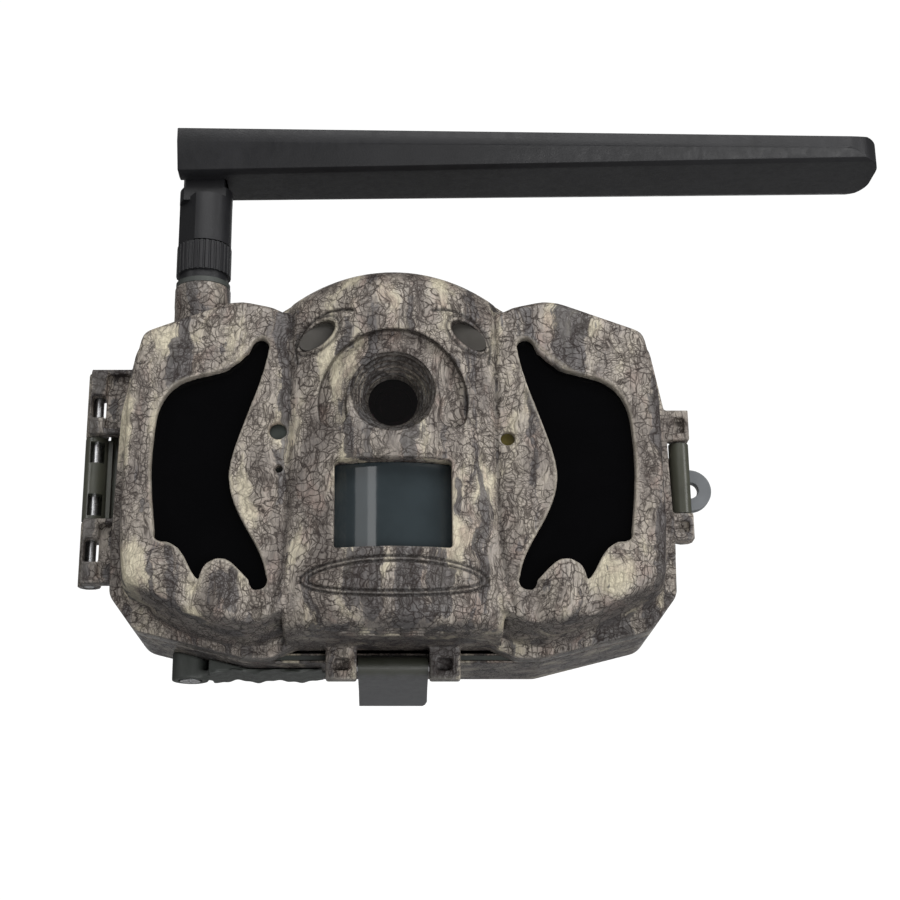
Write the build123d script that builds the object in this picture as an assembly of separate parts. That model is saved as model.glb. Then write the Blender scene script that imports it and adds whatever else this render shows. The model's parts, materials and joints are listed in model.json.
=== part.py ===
from build123d import *

import math
import os

# Trail camera: a hinged, strap-mounted wildlife camera with a folding cellular antenna.
# Millimetres. +X to the viewer's right when facing the lens, +Y out of the back, +Z up.
# The origin is the mouth of the tripod socket, on the face of the rear strap bracket.

# ---- driving dimensions -------------------------------------------------------------------
BACK_WALL_Y = -3.0        # outer face of the rear housing's back wall
PARTING_Y = -33.0         # rear housing's rim, where the case splits
FRONT_RIM_Y = -33.3       # front housing's rim
FLANGE_Y = -39.3          # front face of the rim flange
WING_Y = -57.0            # front face of the two wings
NOSE_Y = -64.0            # foremost line of the centre body
WALL = 2.4                # moulded wall thickness

DOME_R = 49.4             # top arc of the case
DOME_Z = 0.3              # its centre height
DOME_HALF = 30.0          # half-width of the part it crowns
DOME_TAPER = 14.0         # degrees that the dome draws in toward the nose
CENTRE_HALF = 26.0        # half-width of the centre body
CENTRE_R = 46.0           # radius of the centre body about its upright axis
CENTRE_BOTTOM = -46.5
CHIN_R = 5.5              # rounding under the chin

LENS_Z = 10.5
CONE_MOUTH_R = 10.3
CONE_THROAT_R = 6.2
CONE_THROAT_Y = -54.4
CONE_RIBS = 6
HORSESHOE_R = 18.0
HORSESHOE_INNER_R = 11.4
HORSESHOE_Z = 8.3         # its centre height, a little below the lens
HORSESHOE_DROP = 3.3      # how far its ends run below that centre
HORSESHOE_DEPTH = 2.5

PIR_HALF = 13.9
PIR_LOW = -27.9
PIR_HIGH = -6.3

HINGE_X = -75.4           # case hinge pin
HINGE_Y = -32.7
HINGE_PIN_R = 1.25
KNUCKLE_R = 2.9
TAB_FRONT_Y = -37.6       # front of the camouflaged hinge tabs
TAB_RIB = 1.4             # thickness of their ribs
RUN = 0.05                # radial clearance of a running fit

SIDE_PIN_X = 72.2         # side latch pin
SIDE_PIN_Y = -35.2
BOTTOM_PIN_Y = -35.4      # bottom latch pin
BOTTOM_PIN_Z = -50.9
LATCH_PIN_R = 1.1
LATCH_BARREL_R = 2.5
LUG_R = 2.4

ANT_X = -48.7             # antenna's upright axis
ANT_Y = -42.5
FOLD_Z = 77.5             # antenna's folding axis
BLADE_TIP_X = 125.8
BLADE_ROOT_X = -55.4      # its end beyond the folding axis
BLADE_HALF_W = 12.0
PIVOT_HALF = 7.5          # half-length of its hidden pivot pin
TONGUE_HALF = 4.2

TRIPOD_R = 3.175          # 1/4-20 socket
INSERT_R = 4.75
INSERT_LEN = 10.0

CELL_R = 7.25
CELL_LEN = 50.5
CELL_Y = -19.6
CELL_PITCH = 15.2
CELL_ROWS = 4
CELL_MID_Z = -4.0
COLUMN_X = 30.0

PANEL_FRONT_Y = -37.0     # inner panel, which closes the front housing from behind
PANEL_BACK_Y = -35.0
BOARD_Y = (-42.0, -40.4)  # main circuit board

KEY_X = 33.0              # keypad's centre
KEY_Z = 4.0
KEY_PITCH = 10.5
KEY_R = 3.0

NODES = {}


# ---- helpers ------------------------------------------------------------------------------
def add(name, *solids):
    NODES[name] = solids[0] if len(solids) == 1 else Compound(list(solids))


def facing(y):
    """A plane at depth y on which a sketch's (x, y) is the model's (x, z), facing the viewer."""
    return Plane(origin=(0, y, 0), x_dir=(1, 0, 0), z_dir=(0, -1, 0))


def slab(sketch, y_back, y_front, taper=0.0):
    return extrude(facing(y_back) * sketch, amount=y_back - y_front, taper=taper)


def box(x0, x1, y0, y1, z0, z1):
    middle = Pos((x0 + x1) / 2, (y0 + y1) / 2, (z0 + z1) / 2)
    return middle * Box(abs(x1 - x0), abs(y1 - y0), abs(z1 - z0))


def rod(axis, r, a, b, lo, hi):
    """A cylinder along axis from lo to hi. (a, b) is its place on the other two axes."""
    middle = (lo + hi) / 2
    if axis == "X":
        return Pos(middle, a, b) * Rot(0, 90, 0) * Cylinder(r, hi - lo)
    if axis == "Y":
        return Pos(a, middle, b) * Rot(90, 0, 0) * Cylinder(r, hi - lo)
    return Pos(a, b, middle) * Cylinder(r, hi - lo)


def tube(axis, r_out, r_in, a, b, lo, hi):
    return rod(axis, r_out, a, b, lo, hi) - rod(axis, r_in, a, b, lo - 1, hi + 1)


def mirrored(shape):
    return mirror(shape, about=Plane.YZ)


def polygon(points, radii):
    """A closed outline with each corner rounded by its own radius, 0 for a sharp one."""
    face = make_face(Polyline(*points, close=True))
    for point, radius in zip(points, radii):
        if radius:
            corner = face.vertices().sort_by_distance((point[0], point[1], 0))[0]
            face = fillet(corner, radius)
    return face


def screw(axis, head_r, head_h, shank_r, length, place):
    """A pan-head screw along +Y or +Z, head at the high end, drawn from the seat of its head."""
    x, y, z = place
    if axis == "Y":
        head = rod("Y", head_r, x, z, y, y + head_h)
        slot = box(x - head_r, x + head_r, y + head_h * 0.5, y + head_h + 1, z - 0.35, z + 0.35)
        cross = box(x - 0.35, x + 0.35, y + head_h * 0.5, y + head_h + 1, z - head_r, z + head_r)
        return head - slot - cross + rod("Y", shank_r, x, z, y - length, y)
    head = rod("Z", head_r, x, y, z - head_h, z)
    slot = box(x - head_r * 0.7, x + head_r * 0.7, y - 0.35, y + 0.35, z - head_h - 1, z - head_h * 0.5)
    cross = box(x - 0.35, x + 0.35, y - head_r * 0.7, y + head_r * 0.7, z - head_h - 1, z - head_h * 0.5)
    return head - slot - cross + rod("Z", shank_r, x, y, z, z + length)


# ---- outlines -----------------------------------------------------------------------------
WING_POINTS = [
    (20.0, 30.0), (28.5, 39.0), (36.0, 41.0), (42.0, 40.2), (65.2, 31.4), (68.6, 13.0),
    (69.6, -21.0), (69.3, -34.0), (62.8, -42.6), (36.0, -49.4), (30.0, -49.4), (20.0, -45.0),
]
WING_RADII = [0, 0, 4.0, 4.0, 5.0, 0, 0, 5.0, 5.0, 3.0, 3.0, 0]
BULGE_POINTS = [
    (20.0, 32.2), (28.5, 37.2), (37.0, 39.0), (41.5, 38.5), (63.6, 30.2), (67.0, 12.5),
    (67.2, -20.0), (66.2, -36.4), (49.0, -44.2), (38.5, -47.0), (31.0, -46.4), (20.0, -42.0),
]
BULGE_RADII = [0, 0, 4.0, 4.0, 5.0, 0, 0, 4.0, 0, 3.0, 3.0, 0]


def case_outline(bottom):
    """The rim's outline: a dome over the middle and a shouldered wing on each side."""
    wing = polygon(WING_POINTS, WING_RADII)
    dome = Pos(0, DOME_Z) * Circle(DOME_R)
    column = Pos(0, bottom / 2) * Rectangle(2 * 32.0, -bottom)
    dome = dome & (Pos(0, 30) * Rectangle(2 * DOME_HALF, 60))
    return wing + mirror(wing, about=Plane.YZ) + dome + column + Pos(0, 15) * Rectangle(60, 40)


def ir_window_outline():
    """The right infrared window: a curved leaf with a finger and a pointed tooth at its foot."""
    upper = Spline((30.3, 23.9), (33.6, 11.2), (37.4, 0.2), (39.2, -9.2), (36.9, -17.7),
                   (31.6, -27.5), (29.8, -33.4))
    toe = ThreePointArc((29.8, -33.4), (30.3, -36.4), (33.8, -34.4))
    finger = Spline((33.8, -34.4), (37.2, -31.0), (40.0, -29.4), (42.6, -29.9), (45.2, -34.8))
    tooth = Spline((45.2, -34.8), (47.3, -32.4), (49.1, -28.9), (51.5, -26.1), (54.8, -25.1))
    corner = ThreePointArc((54.8, -25.1), (56.0, -24.6), (56.5, -22.6))
    outer = Spline((56.5, -22.6), (57.9, -8.0), (57.5, 3.1), (55.9, 10.2), (51.8, 14.8),
                   (43.5, 17.5), (34.4, 25.0))
    top = ThreePointArc((34.4, 25.0), (31.9, 26.3), (30.3, 23.9))
    return make_face([upper, toe, finger, tooth, corner, outer, top])


FRONT_OUTLINE = case_outline(CENTRE_BOTTOM)
REAR_OUTLINE = case_outline(-49.4)
IR_OUTLINE = ir_window_outline()


def centre_body(inset):
    """The barrel-fronted middle: an upright cylinder under a dome that draws in toward the nose."""
    barrel = rod("Z", CENTRE_R - inset, 0, NOSE_Y + CENTRE_R, CENTRE_BOTTOM + inset, DOME_Z + DOME_R)
    front = box(-CENTRE_HALF, CENTRE_HALF, NOSE_Y - 1, FRONT_RIM_Y, -60, 60)
    dome = slab(Pos(0, DOME_Z) * Circle(DOME_R - inset), FRONT_RIM_Y, NOSE_Y - 1, taper=DOME_TAPER)
    lower = box(-CENTRE_HALF, CENTRE_HALF, NOSE_Y - 1, FRONT_RIM_Y, -60, DOME_Z)
    body = barrel & front & (dome + lower)
    edges = body.edges().filter_by(lambda e: e.center().Y < NOSE_Y + 8)
    body = fillet(edges.filter_by(lambda e: e.center().Z > 30), 9.0 - inset)
    chin = body.edges().filter_by(lambda e: e.center().Y < NOSE_Y + 8 and e.center().Z < -40)
    return fillet(chin, CHIN_R - inset)


# ---- front housing ------------------------------------------------------------------------
EYE_X = 18.4
EYE_Z = 25.8
EYE_TILT = 35.0
SENSOR_HOLES = {"light": (-27.7, 2.3, 2.1), "mic": (-27.3, -7.2, 1.0), "led": (27.6, 0.4, 1.75)}
PANEL_POSTS = [(-61.0, -30.0), (61.0, -30.0), (-58.5, 24.0), (58.5, 24.0), (-40.0, -41.8), (40.0, -41.8)]
POST_R = 2.6
POST_BORE_R = 1.1
VENT_ROWS = (-58.5, -55.5, -52.5)
VENT_COLUMNS = (-5.8, 0.0, 5.8)
NECK_R = 7.1
NECK_TOP = 45.1


def eye_shape(grow):
    return Pos(EYE_X, EYE_Z) * Rot(0, 0, -EYE_TILT) * Ellipse(4.9 + grow, 2.6 + grow)


def horseshoe():
    """The arch-shaped recess round the lens, open at the bottom, with rounded ends."""
    mid = (HORSESHOE_R + HORSESHOE_INNER_R) / 2
    half = (HORSESHOE_R - HORSESHOE_INNER_R) / 2
    ring = Circle(HORSESHOE_R) - Circle(HORSESHOE_INNER_R)
    ring -= Pos(0, -HORSESHOE_R - HORSESHOE_DROP) * Rectangle(60, 2 * HORSESHOE_R)
    end_x = math.sqrt(mid ** 2 - HORSESHOE_DROP ** 2)
    ends = [Pos(side * end_x, -HORSESHOE_DROP) * Circle(half) for side in (-1, 1)]
    return Pos(0, HORSESHOE_Z) * (ring + ends[0] + ends[1])


def lens_cone():
    """A stepped funnel of concentric ribs, wide at the front."""
    step_y = (CONE_THROAT_Y - NOSE_Y) / CONE_RIBS
    step_r = (CONE_MOUTH_R - CONE_THROAT_R) / CONE_RIBS
    funnel = rod("Y", CONE_MOUTH_R, 0, LENS_Z, NOSE_Y - 2, NOSE_Y + 1.5)
    for k in range(CONE_RIBS):
        front = NOSE_Y + k * step_y
        funnel += rod("Y", CONE_MOUTH_R - k * step_r, 0, LENS_Z, front - 0.1, front + step_y)
    return funnel


def knuckle_windows(z_pairs):
    return [box(HINGE_X - 1.2, HINGE_X + 2.3, -45, -20, low, high) for low, high in z_pairs]


def front_hinge_tab(low, high):
    """A ribbed tab standing off the left rim, with a knuckle bored for the hinge pin."""
    tab = rod("Z", KNUCKLE_R, HINGE_X, HINGE_Y, low, high)
    tab += box(HINGE_X - 1.6, HINGE_X + 2.4, TAB_FRONT_Y, -34.0, low, high)
    tab += box(HINGE_X, -64.0, TAB_FRONT_Y + 2.0, -34.0, low, high)
    for rib_low in (low, high - TAB_RIB):
        tab += box(HINGE_X, -64.0, TAB_FRONT_Y, -34.0, rib_low, rib_low + TAB_RIB)
    return tab


def latch_tab_side(low, high):
    lug = box(66.0, SIDE_PIN_X + LUG_R, -38.6, SIDE_PIN_Y, low, high)
    lug += rod("Z", LUG_R, SIDE_PIN_X, SIDE_PIN_Y, low, high)
    window = box(70.8, 73.5, -45, SIDE_PIN_Y - LATCH_PIN_R - 0.4, low + 1.9, high - 1.9)
    return lug - window


def latch_tab_bottom(x_low, x_high):
    lug = box(x_low, x_high, -39.0, BOTTOM_PIN_Y, BOTTOM_PIN_Z - LUG_R - 1.3, -44.0)
    lug += rod("X", LUG_R, BOTTOM_PIN_Y, BOTTOM_PIN_Z, x_low, x_high)
    window = box(x_low + 1.7, x_high - 2.0, -45, BOTTOM_PIN_Y - LATCH_PIN_R - 0.4, -52.3, -49.3)
    return lug - window


def make_front_housing():
    bulge = polygon(BULGE_POINTS, BULGE_RADII)
    wing = slab(bulge, FLANGE_Y + 0.5, WING_Y, taper=8.0)
    body = slab(FRONT_OUTLINE, FRONT_RIM_Y, FLANGE_Y) + wing + mirrored(wing) + centre_body(0.0)
    neck = rod("Z", NECK_R, ANT_X, ANT_Y, 30.0, NECK_TOP)
    body += neck
    for low, high in ((8.2, 25.5), (-30.5, -13.9)):
        body += front_hinge_tab(low, high)
    body += latch_tab_side(6.2, 14.1) + latch_tab_side(-19.7, -12.9)
    body += latch_tab_bottom(8.8, 16.3) + mirrored(latch_tab_bottom(8.8, 16.3))

    hollow_bulge = offset(bulge, -WALL, kind=Kind.INTERSECTION)
    hollow_wing = slab(hollow_bulge, FRONT_RIM_Y + 1, WING_Y + WALL, taper=6.0)
    hollow = slab(offset(FRONT_OUTLINE, -WALL), FRONT_RIM_Y + 1, FLANGE_Y + 2.2)
    hollow += hollow_wing + mirrored(hollow_wing) + centre_body(WALL)
    body -= hollow

    funnel_wall = rod("Y", CONE_MOUTH_R + 1.8, 0, LENS_Z, NOSE_Y + 1.0, CONE_THROAT_Y)
    body += funnel_wall & centre_body(0.4)
    body += rod("Y", HORSESHOE_R + 2.0, 0, LENS_Z, NOSE_Y + 1.0, -57.0) & centre_body(0.4)
    pir_frame = box(-PIR_HALF - 1.6, PIR_HALF + 1.6, -62.0, -56.5, PIR_LOW - 1.6, PIR_HIGH + 1.6)
    body += pir_frame & centre_body(0.4)
    body += mirrored(slab(eye_shape(1.4), -56.5, -61.0) & centre_body(0.4))
    body += slab(eye_shape(1.4), -56.5, -61.0) & centre_body(0.4)

    body -= horseshoe_cut()
    body -= lens_cone()
    body -= box(-PIR_HALF, PIR_HALF, NOSE_Y - 2, -56.0, PIR_LOW, PIR_HIGH)
    for side in (1, -1):
        eye = slab(eye_shape(0), -56.0, NOSE_Y - 1)
        window = slab(IR_OUTLINE, WING_Y + 6, WING_Y - 1)
        body -= eye if side == 1 else mirrored(eye)
        body -= window if side == 1 else mirrored(window)
    for x, z, r in SENSOR_HOLES.values():
        body -= rod("Y", r, x, z, NOSE_Y, WING_Y + 6)
    for x in VENT_COLUMNS:
        for y in VENT_ROWS:
            body -= box(x - 1.6, x + 1.6, y - 0.7, y + 0.7, CENTRE_BOTTOM - 1, CENTRE_BOTTOM + WALL + 1)
    for x in (-10.9, 10.9):
        body -= box(x - 1.2, x + 1.2, -55.6, -54.2, CENTRE_BOTTOM - 1, CENTRE_BOTTOM + WALL + 1)

    for x, z in PANEL_POSTS:
        body += rod("Y", POST_R, x, z, WING_Y + 1, PANEL_FRONT_Y)
        body -= rod("Y", POST_BORE_R, x, z, -47.0, PANEL_FRONT_Y + 1)

    for cut in knuckle_windows([(12.6, 18.8), (-25.0, -19.0)]):
        body -= cut
    body -= rod("Z", HINGE_PIN_R + RUN, HINGE_X, HINGE_Y, -40, 30)

    body -= rod("Z", LATCH_PIN_R, SIDE_PIN_X, SIDE_PIN_Y, -18.6, 13.0)
    body -= rod("X", LATCH_PIN_R, BOTTOM_PIN_Y, BOTTOM_PIN_Z, -15.2, 15.2)

    body -= rod("Z", 3.3, ANT_X, ANT_Y, 28.0, NECK_TOP + 1)
    body -= rod("Z", 5.2, ANT_X, ANT_Y, 28.0, NECK_TOP - 3.0)
    return body


def horseshoe_cut():
    """The arch recess: a curved slice of even depth under the barrel's front."""
    prism = slab(horseshoe(), WING_Y, NOSE_Y - 2)
    keep = rod("Z", CENTRE_R - HORSESHOE_DEPTH, 0, NOSE_Y + CENTRE_R, -20, 50)
    return prism - keep


# ---- rear housing -------------------------------------------------------------------------
BRACKET_SCREWS = [(-18.0, -15.0), (18.0, -15.0), (-18.0, 15.0), (18.0, 15.0)]
LEAF_SCREWS = [(-22.0, -8.5), (-22.0, 3.0)]
LEAF_FACE_X = -70.3
GASKET_IN = 0.7
GASKET_OUT = 1.7
JACK_X = -32.0
JACK_Y = -20.5
USB_X = -22.6
PORT_HOLE_R = 4.4
COVER_SCREW = (-51.0, -20.0)
SCREW_SEAT_Z = -50.2      # where its head bears on the rubber
EYE_PLATE_Y = (-26.6, -23.6)
EYE_C = (76.2, -3.4)
CATCH_SIDE_Y = (-25.6, -23.6)
CATCH_BOTTOM_Y = (-26.0, -24.0)


CAP_SLOPE = 7.0
CAP_HALF = [(64.4, 31.2), (68.2, 12.8), (69.2, -21.0), (68.9, -33.8), (62.6, -42.4), (36.0, -49.2)]
CAP_POINTS = CAP_HALF + [(-x, z) for x, z in reversed(CAP_HALF)]
CAP_RADII = [9.0, 0, 0, 8.0, 8.0, 0] + [0, 8.0, 8.0, 0, 0, 9.0]


def gasket_ring():
    return offset(REAR_OUTLINE, -GASKET_IN) - offset(REAR_OUTLINE, -GASKET_OUT)


def back_cap(inset, y_front, y_back):
    """The sloping back of the rear housing, from the rim's outline in to the flat back wall."""
    cap = polygon(CAP_POINTS, CAP_RADII)
    wide = offset(cap, -inset) if inset else cap
    narrow = offset(cap, -inset - CAP_SLOPE)
    return loft([facing(y_front) * wide, facing(y_back) * narrow])


def make_rear_housing():
    back = PARTING_Y + 23.0
    body = slab(REAR_OUTLINE, back, PARTING_Y)
    body += back_cap(0.0, back, BACK_WALL_Y)
    body -= slab(offset(REAR_OUTLINE, -WALL), back - WALL, PARTING_Y - 1)
    body -= back_cap(WALL, back - WALL - 0.1, BACK_WALL_Y - WALL)

    body += rod("Y", 7.2, 0, 0, -10.9, BACK_WALL_Y - 1)
    for x, z in BRACKET_SCREWS:
        body += rod("Y", 3.4, x, z, -10.0, BACK_WALL_Y - 1)
        body -= rod("Y", 1.5, x, z, -9.0, BACK_WALL_Y + 1)
    body -= rod("Y", INSERT_R, 0, 0, -INSERT_LEN, BACK_WALL_Y + 1)

    pad = box(LEAF_FACE_X, -66.0, -32.2, -15.5, -15.5, 10.0)
    body += pad
    for y, z in LEAF_SCREWS:
        body -= rod("X", 1.2, y, z, -71.5, -66.5)

    body += box(66.0, 71.6, CATCH_SIDE_Y[0], CATCH_SIDE_Y[1], -12.2, -9.3)
    body += box(66.0, 71.6, CATCH_SIDE_Y[0], CATCH_SIDE_Y[1], 2.7, 5.8)
    body += box(66.0, 69.6, -27.4, -22.8, -11.0, 4.2)
    body -= box(66.6, 70.5, EYE_PLATE_Y[0], EYE_PLATE_Y[1], -8.9, 2.1)
    body += box(-8.0, 8.0, CATCH_BOTTOM_Y[0], CATCH_BOTTOM_Y[1], -52.4, -48.0)

    for x in (JACK_X, USB_X):
        body -= rod("Z", PORT_HOLE_R, x, JACK_Y, -51.0, -46.0)
    body += rod("Z", 3.6, COVER_SCREW[0], COVER_SCREW[1], -44.4, -38.0)
    body -= rod("Z", 1.3, COVER_SCREW[0], COVER_SCREW[1], -52.0, -39.5)
    return body - slab(gasket_ring(), PARTING_Y + 1.5, PARTING_Y - 1)


def make_hinge_leaf():
    """The dark leaf screwed to the rear housing's side, with the middle hinge knuckle."""
    barrel = rod("Z", KNUCKLE_R, HINGE_X, HINGE_Y, -13.6, 7.9)
    web = box(HINGE_X - 1.0, -71.4, HINGE_Y, -28.6, -13.6, 7.9)
    plate = box(-72.4, LEAF_FACE_X, -30.4, -16.0, -13.6, 13.4)
    leaf = barrel + web + plate
    for cut in knuckle_windows([(1.2, 6.8), (-12.6, -7.0)]):
        leaf -= cut & box(-80, -60, -45, -29.9, -50, 50)
    leaf -= rod("Z", HINGE_PIN_R, HINGE_X, HINGE_Y, -40, 30)
    for y, z in LEAF_SCREWS:
        leaf -= rod("X", 1.2, y, z, -73.0, -70.0)
    return leaf


def make_lock_eye():
    """A flat padlock ring on a tang, let into the rear housing's right side."""
    ring = rod("Y", 5.5, EYE_C[0], EYE_C[1], EYE_PLATE_Y[0] + 0.2, EYE_PLATE_Y[1] - 0.2)
    tang = box(66.6, EYE_C[0], EYE_PLATE_Y[0] + 0.2, EYE_PLATE_Y[1] - 0.2, -8.4, 1.6)
    return ring + tang - rod("Y", 2.1, EYE_C[0], EYE_C[1], -30, -20)


def make_bracket():
    """The strap bracket: a plate, two stand-off strap bars and toothed tree grips."""
    plate = slab(RectangleRounded(104, 44, 6), 0.0, BACK_WALL_Y)
    plate -= rod("Y", INSERT_R, 0, 0, -5, 2)
    for x, z in BRACKET_SCREWS:
        plate -= rod("Y", 1.5, x, z, -5, 2)
    teeth = [(26.0, 0.0), (26.0, 3.2), (28.0, 7.2), (30.2, 4.0), (32.4, 7.2), (34.6, 4.0),
             (36.8, 7.2), (38.6, 3.2), (38.6, 0.0)]
    grip = extrude(make_face(Polyline(*teeth, close=True)), amount=28.0)
    grip = Pos(0, 0, -14.0) * grip
    bar = box(44.0, 48.5, 4.7, 7.2, -18.5, 18.5)
    posts = box(44.0, 48.5, -0.5, 5.0, 15.0, 18.5) + box(44.0, 48.5, -0.5, 5.0, -18.5, -15.0)
    side = grip + bar + posts
    return plate + side + mirrored(side)


# ---- antenna ------------------------------------------------------------------------------
NUT_LOW = 46.7
NUT_KNURL_LOW = 48.6
NUT_HIGH = 56.5
NUT_R = 7.0
SWIVEL_R = 6.85
SWIVEL_LOW = 56.8
SWIVEL_TOP = 72.4
SHOULDER_TOP = 69.9
SWIVEL_FLAT = 5.5         # from the axis to each of its two flats
SWIVEL_FLAT_TURN = 53.0   # degrees from the viewer to the nearer flat
CHEEK_R = 7.1


def make_antenna_nut():
    knurl = Circle(NUT_R)
    for k in range(30):
        knurl -= Rot(0, 0, k * 12) * Pos(NUT_R, 0) * Circle(0.32)
    nut = Pos(ANT_X, ANT_Y, NUT_KNURL_LOW) * extrude(knurl, amount=NUT_HIGH - NUT_KNURL_LOW)
    nut += rod("Z", 6.2, ANT_X, ANT_Y, NUT_LOW, NUT_KNURL_LOW)
    return nut - rod("Z", 3.6, ANT_X, ANT_Y, NUT_LOW - 1, NUT_HIGH + 1)


def make_antenna_swivel():
    body = rod("Z", SWIVEL_R, ANT_X, ANT_Y, SWIVEL_LOW, SHOULDER_TOP)
    flats = Pos(ANT_X, ANT_Y, 64.0) * Rot(0, 0, -SWIVEL_FLAT_TURN) * Box(40, 2 * SWIVEL_FLAT, 40)
    body = body & flats
    middle = rod("Z", SWIVEL_R, ANT_X, ANT_Y, SHOULDER_TOP - 1, SWIVEL_TOP)
    y_low = ANT_Y - TONGUE_HALF
    y_high = ANT_Y + TONGUE_HALF
    slice_box = box(ANT_X - 10, ANT_X + 10, y_low, y_high, 60, 90)
    tongue = rod("Y", 5.0, ANT_X, FOLD_Z, y_low, y_high)
    tongue += box(ANT_X - 5, ANT_X + 5, y_low, y_high, SWIVEL_TOP - 1, FOLD_Z)
    body += (middle & slice_box) + tongue
    body += rod("Z", 3.5, ANT_X, ANT_Y, 52.6, SWIVEL_LOW + 1)
    return body - rod("Y", 1.5 + RUN, ANT_X, FOLD_Z, y_low - 1, y_high + 1)


def make_antenna_blade():
    """A flat paddle that tapers to a rounded tip, forked at its root round the swivel's tongue."""
    half = BLADE_HALF_W
    root = make_face(Polyline(
        (ANT_Y - half, 85.4), (ANT_Y - half, 81.6), (ANT_Y - half + 3.0, 75.0), (ANT_Y - half + 5.0, 74.2),
        (ANT_Y + half - 5.0, 74.2), (ANT_Y + half - 3.0, 75.0), (ANT_Y + half, 81.6), (ANT_Y + half, 85.4),
        (ANT_Y + half - 2.0, 86.4), (ANT_Y - half + 2.0, 86.4), close=True))
    tip = make_face(Polyline(
        (ANT_Y - half, 82.9), (ANT_Y - half, 79.6), (ANT_Y - half + 1.2, 77.8), (ANT_Y - half + 3.0, 77.4),
        (ANT_Y + half - 3.0, 77.4), (ANT_Y + half - 1.2, 77.8), (ANT_Y + half, 79.6), (ANT_Y + half, 82.9),
        (ANT_Y + half - 2.0, 83.8), (ANT_Y - half + 2.0, 83.8), close=True))
    at_root = Plane(origin=(BLADE_ROOT_X, 0, 0), x_dir=(0, 1, 0), z_dir=(1, 0, 0))
    at_tip = Plane(origin=(BLADE_TIP_X, 0, 0), x_dir=(0, 1, 0), z_dir=(1, 0, 0))
    blade = loft([at_root * root, at_tip * tip], ruled=True)
    plan = Pos((BLADE_TIP_X + BLADE_ROOT_X) / 2, ANT_Y) * Rectangle(BLADE_TIP_X - BLADE_ROOT_X, 2 * half)
    corners = plan.vertices().sort_by(Axis.X)[-2:]
    plan = fillet(corners, 9.0)
    blade &= Pos(0, 0, 70) * extrude(plan, amount=22)
    heel = box(ANT_X - 9, ANT_X, ANT_Y - 12, ANT_Y + 12, 74, FOLD_Z) - rod(
        "Y", CHEEK_R, ANT_X, FOLD_Z, ANT_Y - 13, ANT_Y + 13)
    blade -= heel
    slot_half = TONGUE_HALF + 0.3
    slot = box(ANT_X - 10, ANT_X, ANT_Y - slot_half, ANT_Y + slot_half, 74, 90)
    slot += rod("Y", 9.1, ANT_X, FOLD_Z, ANT_Y - slot_half, ANT_Y + slot_half) & box(
        ANT_X - 10, ANT_X + 1, ANT_Y - 20, ANT_Y + 20, 60, 90)
    slot += rod("Y", 5.5, ANT_X, FOLD_Z, ANT_Y - slot_half, ANT_Y + slot_half)
    slot += box(ANT_X - 1, ANT_X + 5.5, ANT_Y - slot_half, ANT_Y + slot_half, 74, FOLD_Z)
    blade -= slot
    return blade - rod("Y", 1.5, ANT_X, FOLD_Z, ANT_Y - PIVOT_HALF, ANT_Y + PIVOT_HALF)


# ---- latches ------------------------------------------------------------------------------
def make_side_latch():
    """A forked lever that straddles the lock eye and hooks behind two catches."""
    barrel = rod("Z", LATCH_BARREL_R, SIDE_PIN_X, SIDE_PIN_Y, -12.5, 5.8)
    bridge = box(SIDE_PIN_X + 0.6, SIDE_PIN_X + 2.5, SIDE_PIN_Y, -28.4, -12.5, 5.8)
    lever = barrel + bridge
    for low, high in ((-12.5, -9.4), (2.7, 5.8)):
        lever += box(SIDE_PIN_X + 0.6, SIDE_PIN_X + 2.5, -28.6, -19.0, low, high)
        lever += box(SIDE_PIN_X - 1.9, SIDE_PIN_X + 1.0, -23.3, -21.3, low, high)
    return lever - rod("Z", LATCH_PIN_R + RUN, SIDE_PIN_X, SIDE_PIN_Y, -20, 10)


def make_bottom_latch():
    """A plate that hooks up behind the bottom catch, with a flared finger pull."""
    barrel = rod("X", LATCH_BARREL_R, BOTTOM_PIN_Y, BOTTOM_PIN_Z, -8.5, 8.5)
    side = make_face(Polyline(
        (BOTTOM_PIN_Y, -51.6), (BOTTOM_PIN_Y, -53.4), (-24.0, -54.8), (-18.5, -57.3), (-16.6, -57.3),
        (-22.0, -53.4), (-22.0, -51.4), (-23.7, -51.4), (-23.7, -53.0), (-30.0, -52.9), close=True))
    profile = Plane(origin=(-8.5, 0, 0), x_dir=(0, 1, 0), z_dir=(1, 0, 0)) * side
    plate = extrude(profile, amount=17.0)
    corner = [(8.6, -36.0), (8.6, -20.0), (7.0, -15.5), (9.5, -15.5), (9.5, -36.0)]
    trim = make_face(Polyline(*corner, close=True))
    plate -= Pos(0, 0, -60) * extrude(trim, amount=12)
    lever = barrel + plate
    return lever - rod("X", LATCH_PIN_R + RUN, BOTTOM_PIN_Y, BOTTOM_PIN_Z, -20, 20)


# ---- batteries ----------------------------------------------------------------------------
CELL_HEIGHTS = [CELL_MID_Z + (k - (CELL_ROWS - 1) / 2) * CELL_PITCH for k in range(CELL_ROWS)]
TRAY_HALF_X = 60.0
TRAY_HALF_Z = 31.4
TRAY_Y = (-28.0, -11.3)
POCKET = 55.0
PIN_XS = (-4.0, 4.0)      # power contacts between the two halves of the case
PIN_Z = 29.0
PAD_BACK_Y = -31.6        # back of the contact pads


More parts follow.
